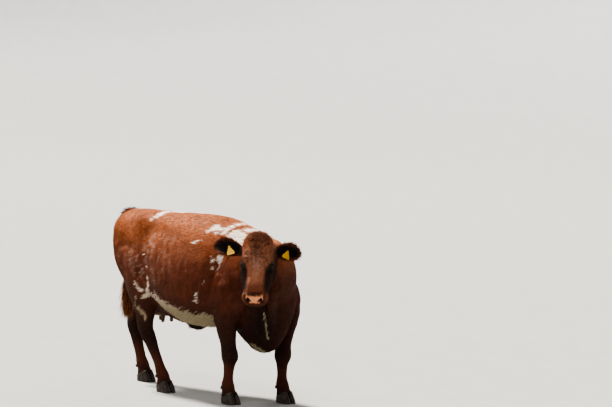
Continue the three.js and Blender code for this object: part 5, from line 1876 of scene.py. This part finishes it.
def roundedOutline(corners, radius, steps=7):
    # each corner becomes a curve from radius before it to radius after it, bent towards the corner
    corners = np.array(corners, float)
    t = np.linspace(0, 1, steps)[:, None]
    made = []
    for before, corner, after in zip(np.roll(corners, 1, 0), corners, np.roll(corners, -1, 0)):
        start, stop = (corner + unit(end - corner) * min(radius, np.linalg.norm(end - corner) * 0.45)
                       for end in (before, after))
        made.append(start * (1 - t) ** 2 + 2 * corner * t * (1 - t) + stop * t ** 2)
    return np.concatenate(made)


def tagPlate():
    # rings of the outline, shrunk to its middle: front face, raised edge, rim, back face; bowed back by x^2
    half = [(tag["neck"] / 2, tag["top"]), (tag["neck"] / 2, tag["top"] - tag["flare"]),
            (tag["width"] / 2, tag["top"] - tag["flareEnd"]), (tag["width"] / 2, tag["top"] - tag["height"])]
    outline = roundedOutline(half + [(-x, y) for x, y in reversed(half)], tag["corner"])
    middle = np.array([0, tag["top"] - tag["height"] * 0.5])
    rings = []
    thick = tag["thickness"]
    for scale, depth in ((0.15, thick), (0.5, thick), (0.8, thick), (0.93, thick - 0.1),
                         (0.955, thick + 0.45), (0.975, thick + 0.4), (0.992, thick - 0.2),
                         (1.0, thick * 0.5), (0.992, 0.4), (0.975, 0), (0.8, 0), (0.5, 0), (0.15, 0)):
        flat = middle + (outline - middle) * scale
        bow = -tag["bend"] * (flat[:, 0] / 28) ** 2
        rings.append(np.stack([flat[:, 0], flat[:, 1], depth + bow], -1))
    return np.array(rings)


def turned(profile, around=40):
    # profile of (radius, height) pairs turned about Z
    radius, height = np.array(profile, float).T[..., None]
    angle = np.linspace(0, 2 * math.pi, around, endpoint=False)
    return np.stack([radius * np.cos(angle), radius * np.sin(angle), height + 0 * angle], -1)


def tagPieces(side):
    # the plate in front of the ear, the stud through it and the button behind
    basis, pin = tagPlace(side)
    tilt = math.radians(-tag["tilt"])
    lay = np.array([[1, 0, 0], [0, math.cos(tilt), -math.sin(tilt)], [0, math.sin(tilt), math.cos(tilt)]])

    def place(points):
        return fromHead(pin + points @ basis.T)

    name = sideName(side)
    front, back, radius = tag["ahead"] + tag["thickness"], tag["behind"], tag["buttonRadius"]
    plate = tagPlate()
    shaped = plate @ lay.T + np.array([0, 0, tag["ahead"]])
    pinRadius = tag["pinRadius"]
    stud = turned([(1, front + 3.4), (2.6, front + 3.2), (4.6, front + 1.6), (8.2, front + 1.2),
                   (8.6, front + 0.4), (8.4, front - 0.6), (5, front - 1), (pinRadius, front - 2),
                   (pinRadius, back + 1), (1, back + 0.6)])
    depth = tag["buttonDepth"]
    end = back - depth
    button = turned([(1, back), (radius - 1.6, back), (radius - 0.4, back - 0.5), (radius, back - 1.6),
                     (radius - 0.4, end + 0.6), (radius - 1.5, end), (7.5, end - 0.2), (6.6, end - 1.3),
                     (1, end - 1.5)])
    for label, grid in (("plate", shaped), ("stud", stud), ("button", button)):
        points, quads, caps = closedTube(grid)
        pieceOf(meshOf(f"tag_{name}_{label}", place(points), quads, caps), tagPlastic, "yellow_tag",
                f"ear_tag_{name}")


tagPlastic = plainMaterial("tagPlastic", (0.38, 0.20, 0.001), (0.47, 0.27, 0.002), 60.0, 0.62, 0.0002)
for tagSide in (-1, 1):
    tagPieces(tagSide)


# floor, light, camera

ground = {
    "flat": 28, "bendFrom": 40, "bend": 20,    # m; the rim rises in a quarter circle beyond the flat
    "pale": ((0.33, 0.327, 0.318), (0.38, 0.377, 0.366)), "roughness": 0.85,
    "glow": 0.40, "glowHeight": 5.0, "glowColour": (0.95, 0.97, 1.0, 1), "around": 96}


def paleFloor():
    # a disc whose rim rises far away in a quarter circle; the risen part glows a little so that it stays pale
    made, add, shade = newMaterial("paleFloor")
    place = objectPlace(add)
    height = add("ShaderNodeSeparateXYZ", Vector=place).outputs["Z"]
    glow = add("ShaderNodeMapRange", Value=height, From_Max=ground["glowHeight"], To_Max=ground["glow"])
    shade(Base_Color=speckled(add, place, 3.0, 6.0, *ground["pale"]), Roughness=ground["roughness"],
          Emission_Strength=glow.outputs[0], Emission_Color=ground["glowColour"])
    around = ground["around"]
    turn = np.linspace(0, 2 * math.pi, around, endpoint=False)
    bend = np.linspace(0, math.pi / 2, 12)
    radius = np.concatenate([[ground["flat"]], ground["bendFrom"] + ground["bend"] * np.sin(bend)])[:, None]
    rise = np.concatenate([[0.0], ground["bend"] * (1 - np.cos(bend))])[:, None]
    grid = np.stack([radius * np.cos(turn), radius * np.sin(turn), rise + 0 * turn], -1)
    points = np.concatenate([grid.reshape(-1, 3), [[0, 0, 0]]])
    faces = tubeFaces(len(radius), around)[0][:, ::-1].tolist()
    faces += [(len(points) - 1, j, (j + 1) % around) for j in range(around)]
    mesh = bpy.data.meshes.new("floor")
    mesh.from_pydata(points.tolist(), [], faces)
    mesh.polygons.foreach_set("use_smooth", [True] * len(faces))
    mesh.materials.append(made)
    placed("floor", mesh)


paleFloor()

view = {"azimuth": 40, "elevation": 5.5, "roll": 3.5, "distance": 20, "scale": 134, "aim": (200.6, 302),
        "middle": (306, 203.5), "target": (0, 0, 0.7), "width": 612, "sensor": 36}


def cameraAxes():
    # back from the object to the camera, then right and up in the picture, rolled
    azimuth, elevation, roll = (math.radians(view[k]) for k in ("azimuth", "elevation", "roll"))
    level = math.cos(elevation)
    back = Vector((math.sin(azimuth) * level, -math.cos(azimuth) * level, math.sin(elevation)))
    right = Vector((math.cos(azimuth), math.sin(azimuth), 0))
    up = back.cross(right)
    return (back, right * math.cos(roll) + up * math.sin(roll), up * math.cos(roll) - right * math.sin(roll))


def addCamera():
    # the lens that gives scale pixels to the metre at the target; it looks past the target by aim - middle
    back, right, up = cameraAxes()
    data = bpy.data.cameras.new("camera")
    data.sensor_width = view["sensor"]
    data.lens = view["sensor"] * view["distance"] * view["scale"] / view["width"]
    data.clip_end = 200
    camera = placed("camera", data)
    target = Vector(view["target"])
    aimX, aimY = view["aim"]
    middleX, middleY = view["middle"]
    look = target + right * ((middleX - aimX) / view["scale"]) + up * ((aimY - middleY) / view["scale"])
    place = target + back * view["distance"]
    ahead = (look - place).normalized()
    side = ahead.cross(up).normalized()
    axes = Matrix((side, side.cross(ahead), -ahead)).transposed()
    camera.matrix_world = Matrix.Translation(place) @ axes.to_4x4()
    bpy.context.scene.camera = camera


lights = {    # towards the light, strength, angle across, colour
    "key": ((-0.62, 0.05, 1.0), 8.2, 12, (1.0, 0.95, 0.88)),
    "front": ((0.25, -1.0, 1.45), 1.2, 24, (1.0, 0.97, 0.94)),
    "side": ((-1.0, -0.9, 0.55), 0.3, 30, (1.0, 0.96, 0.90)),
    "rear": ((-0.2, 1.0, 0.9), 0.5, 30, (1.0, 0.97, 0.93)),
}


sky = {"colour": (0.93, 0.95, 1.0, 1), "strength": 0.10}


def addLights():
    # each lamp shines down from its own way; the sky fills in from all round
    for name, (way, strength, wide, tint) in lights.items():
        data = bpy.data.lights.new(name, "SUN")
        data.angle, data.energy, data.color = math.radians(wide), strength, tint
        lamp = placed(name, data)
        lamp.location = Vector(way).normalized() * 8
        lamp.rotation_euler = Vector(way).to_track_quat("Z", "Y").to_euler()
    world = bpy.data.worlds.new("studio")
    bpy.context.scene.world = world
    world.use_nodes = True
    air = world.node_tree.nodes["Background"]
    air.inputs["Color"].default_value = sky["colour"]
    air.inputs["Strength"].default_value = sky["strength"]


addCamera()
addLights()
bpy.context.scene.view_settings.look = "AgX - High Contrast"
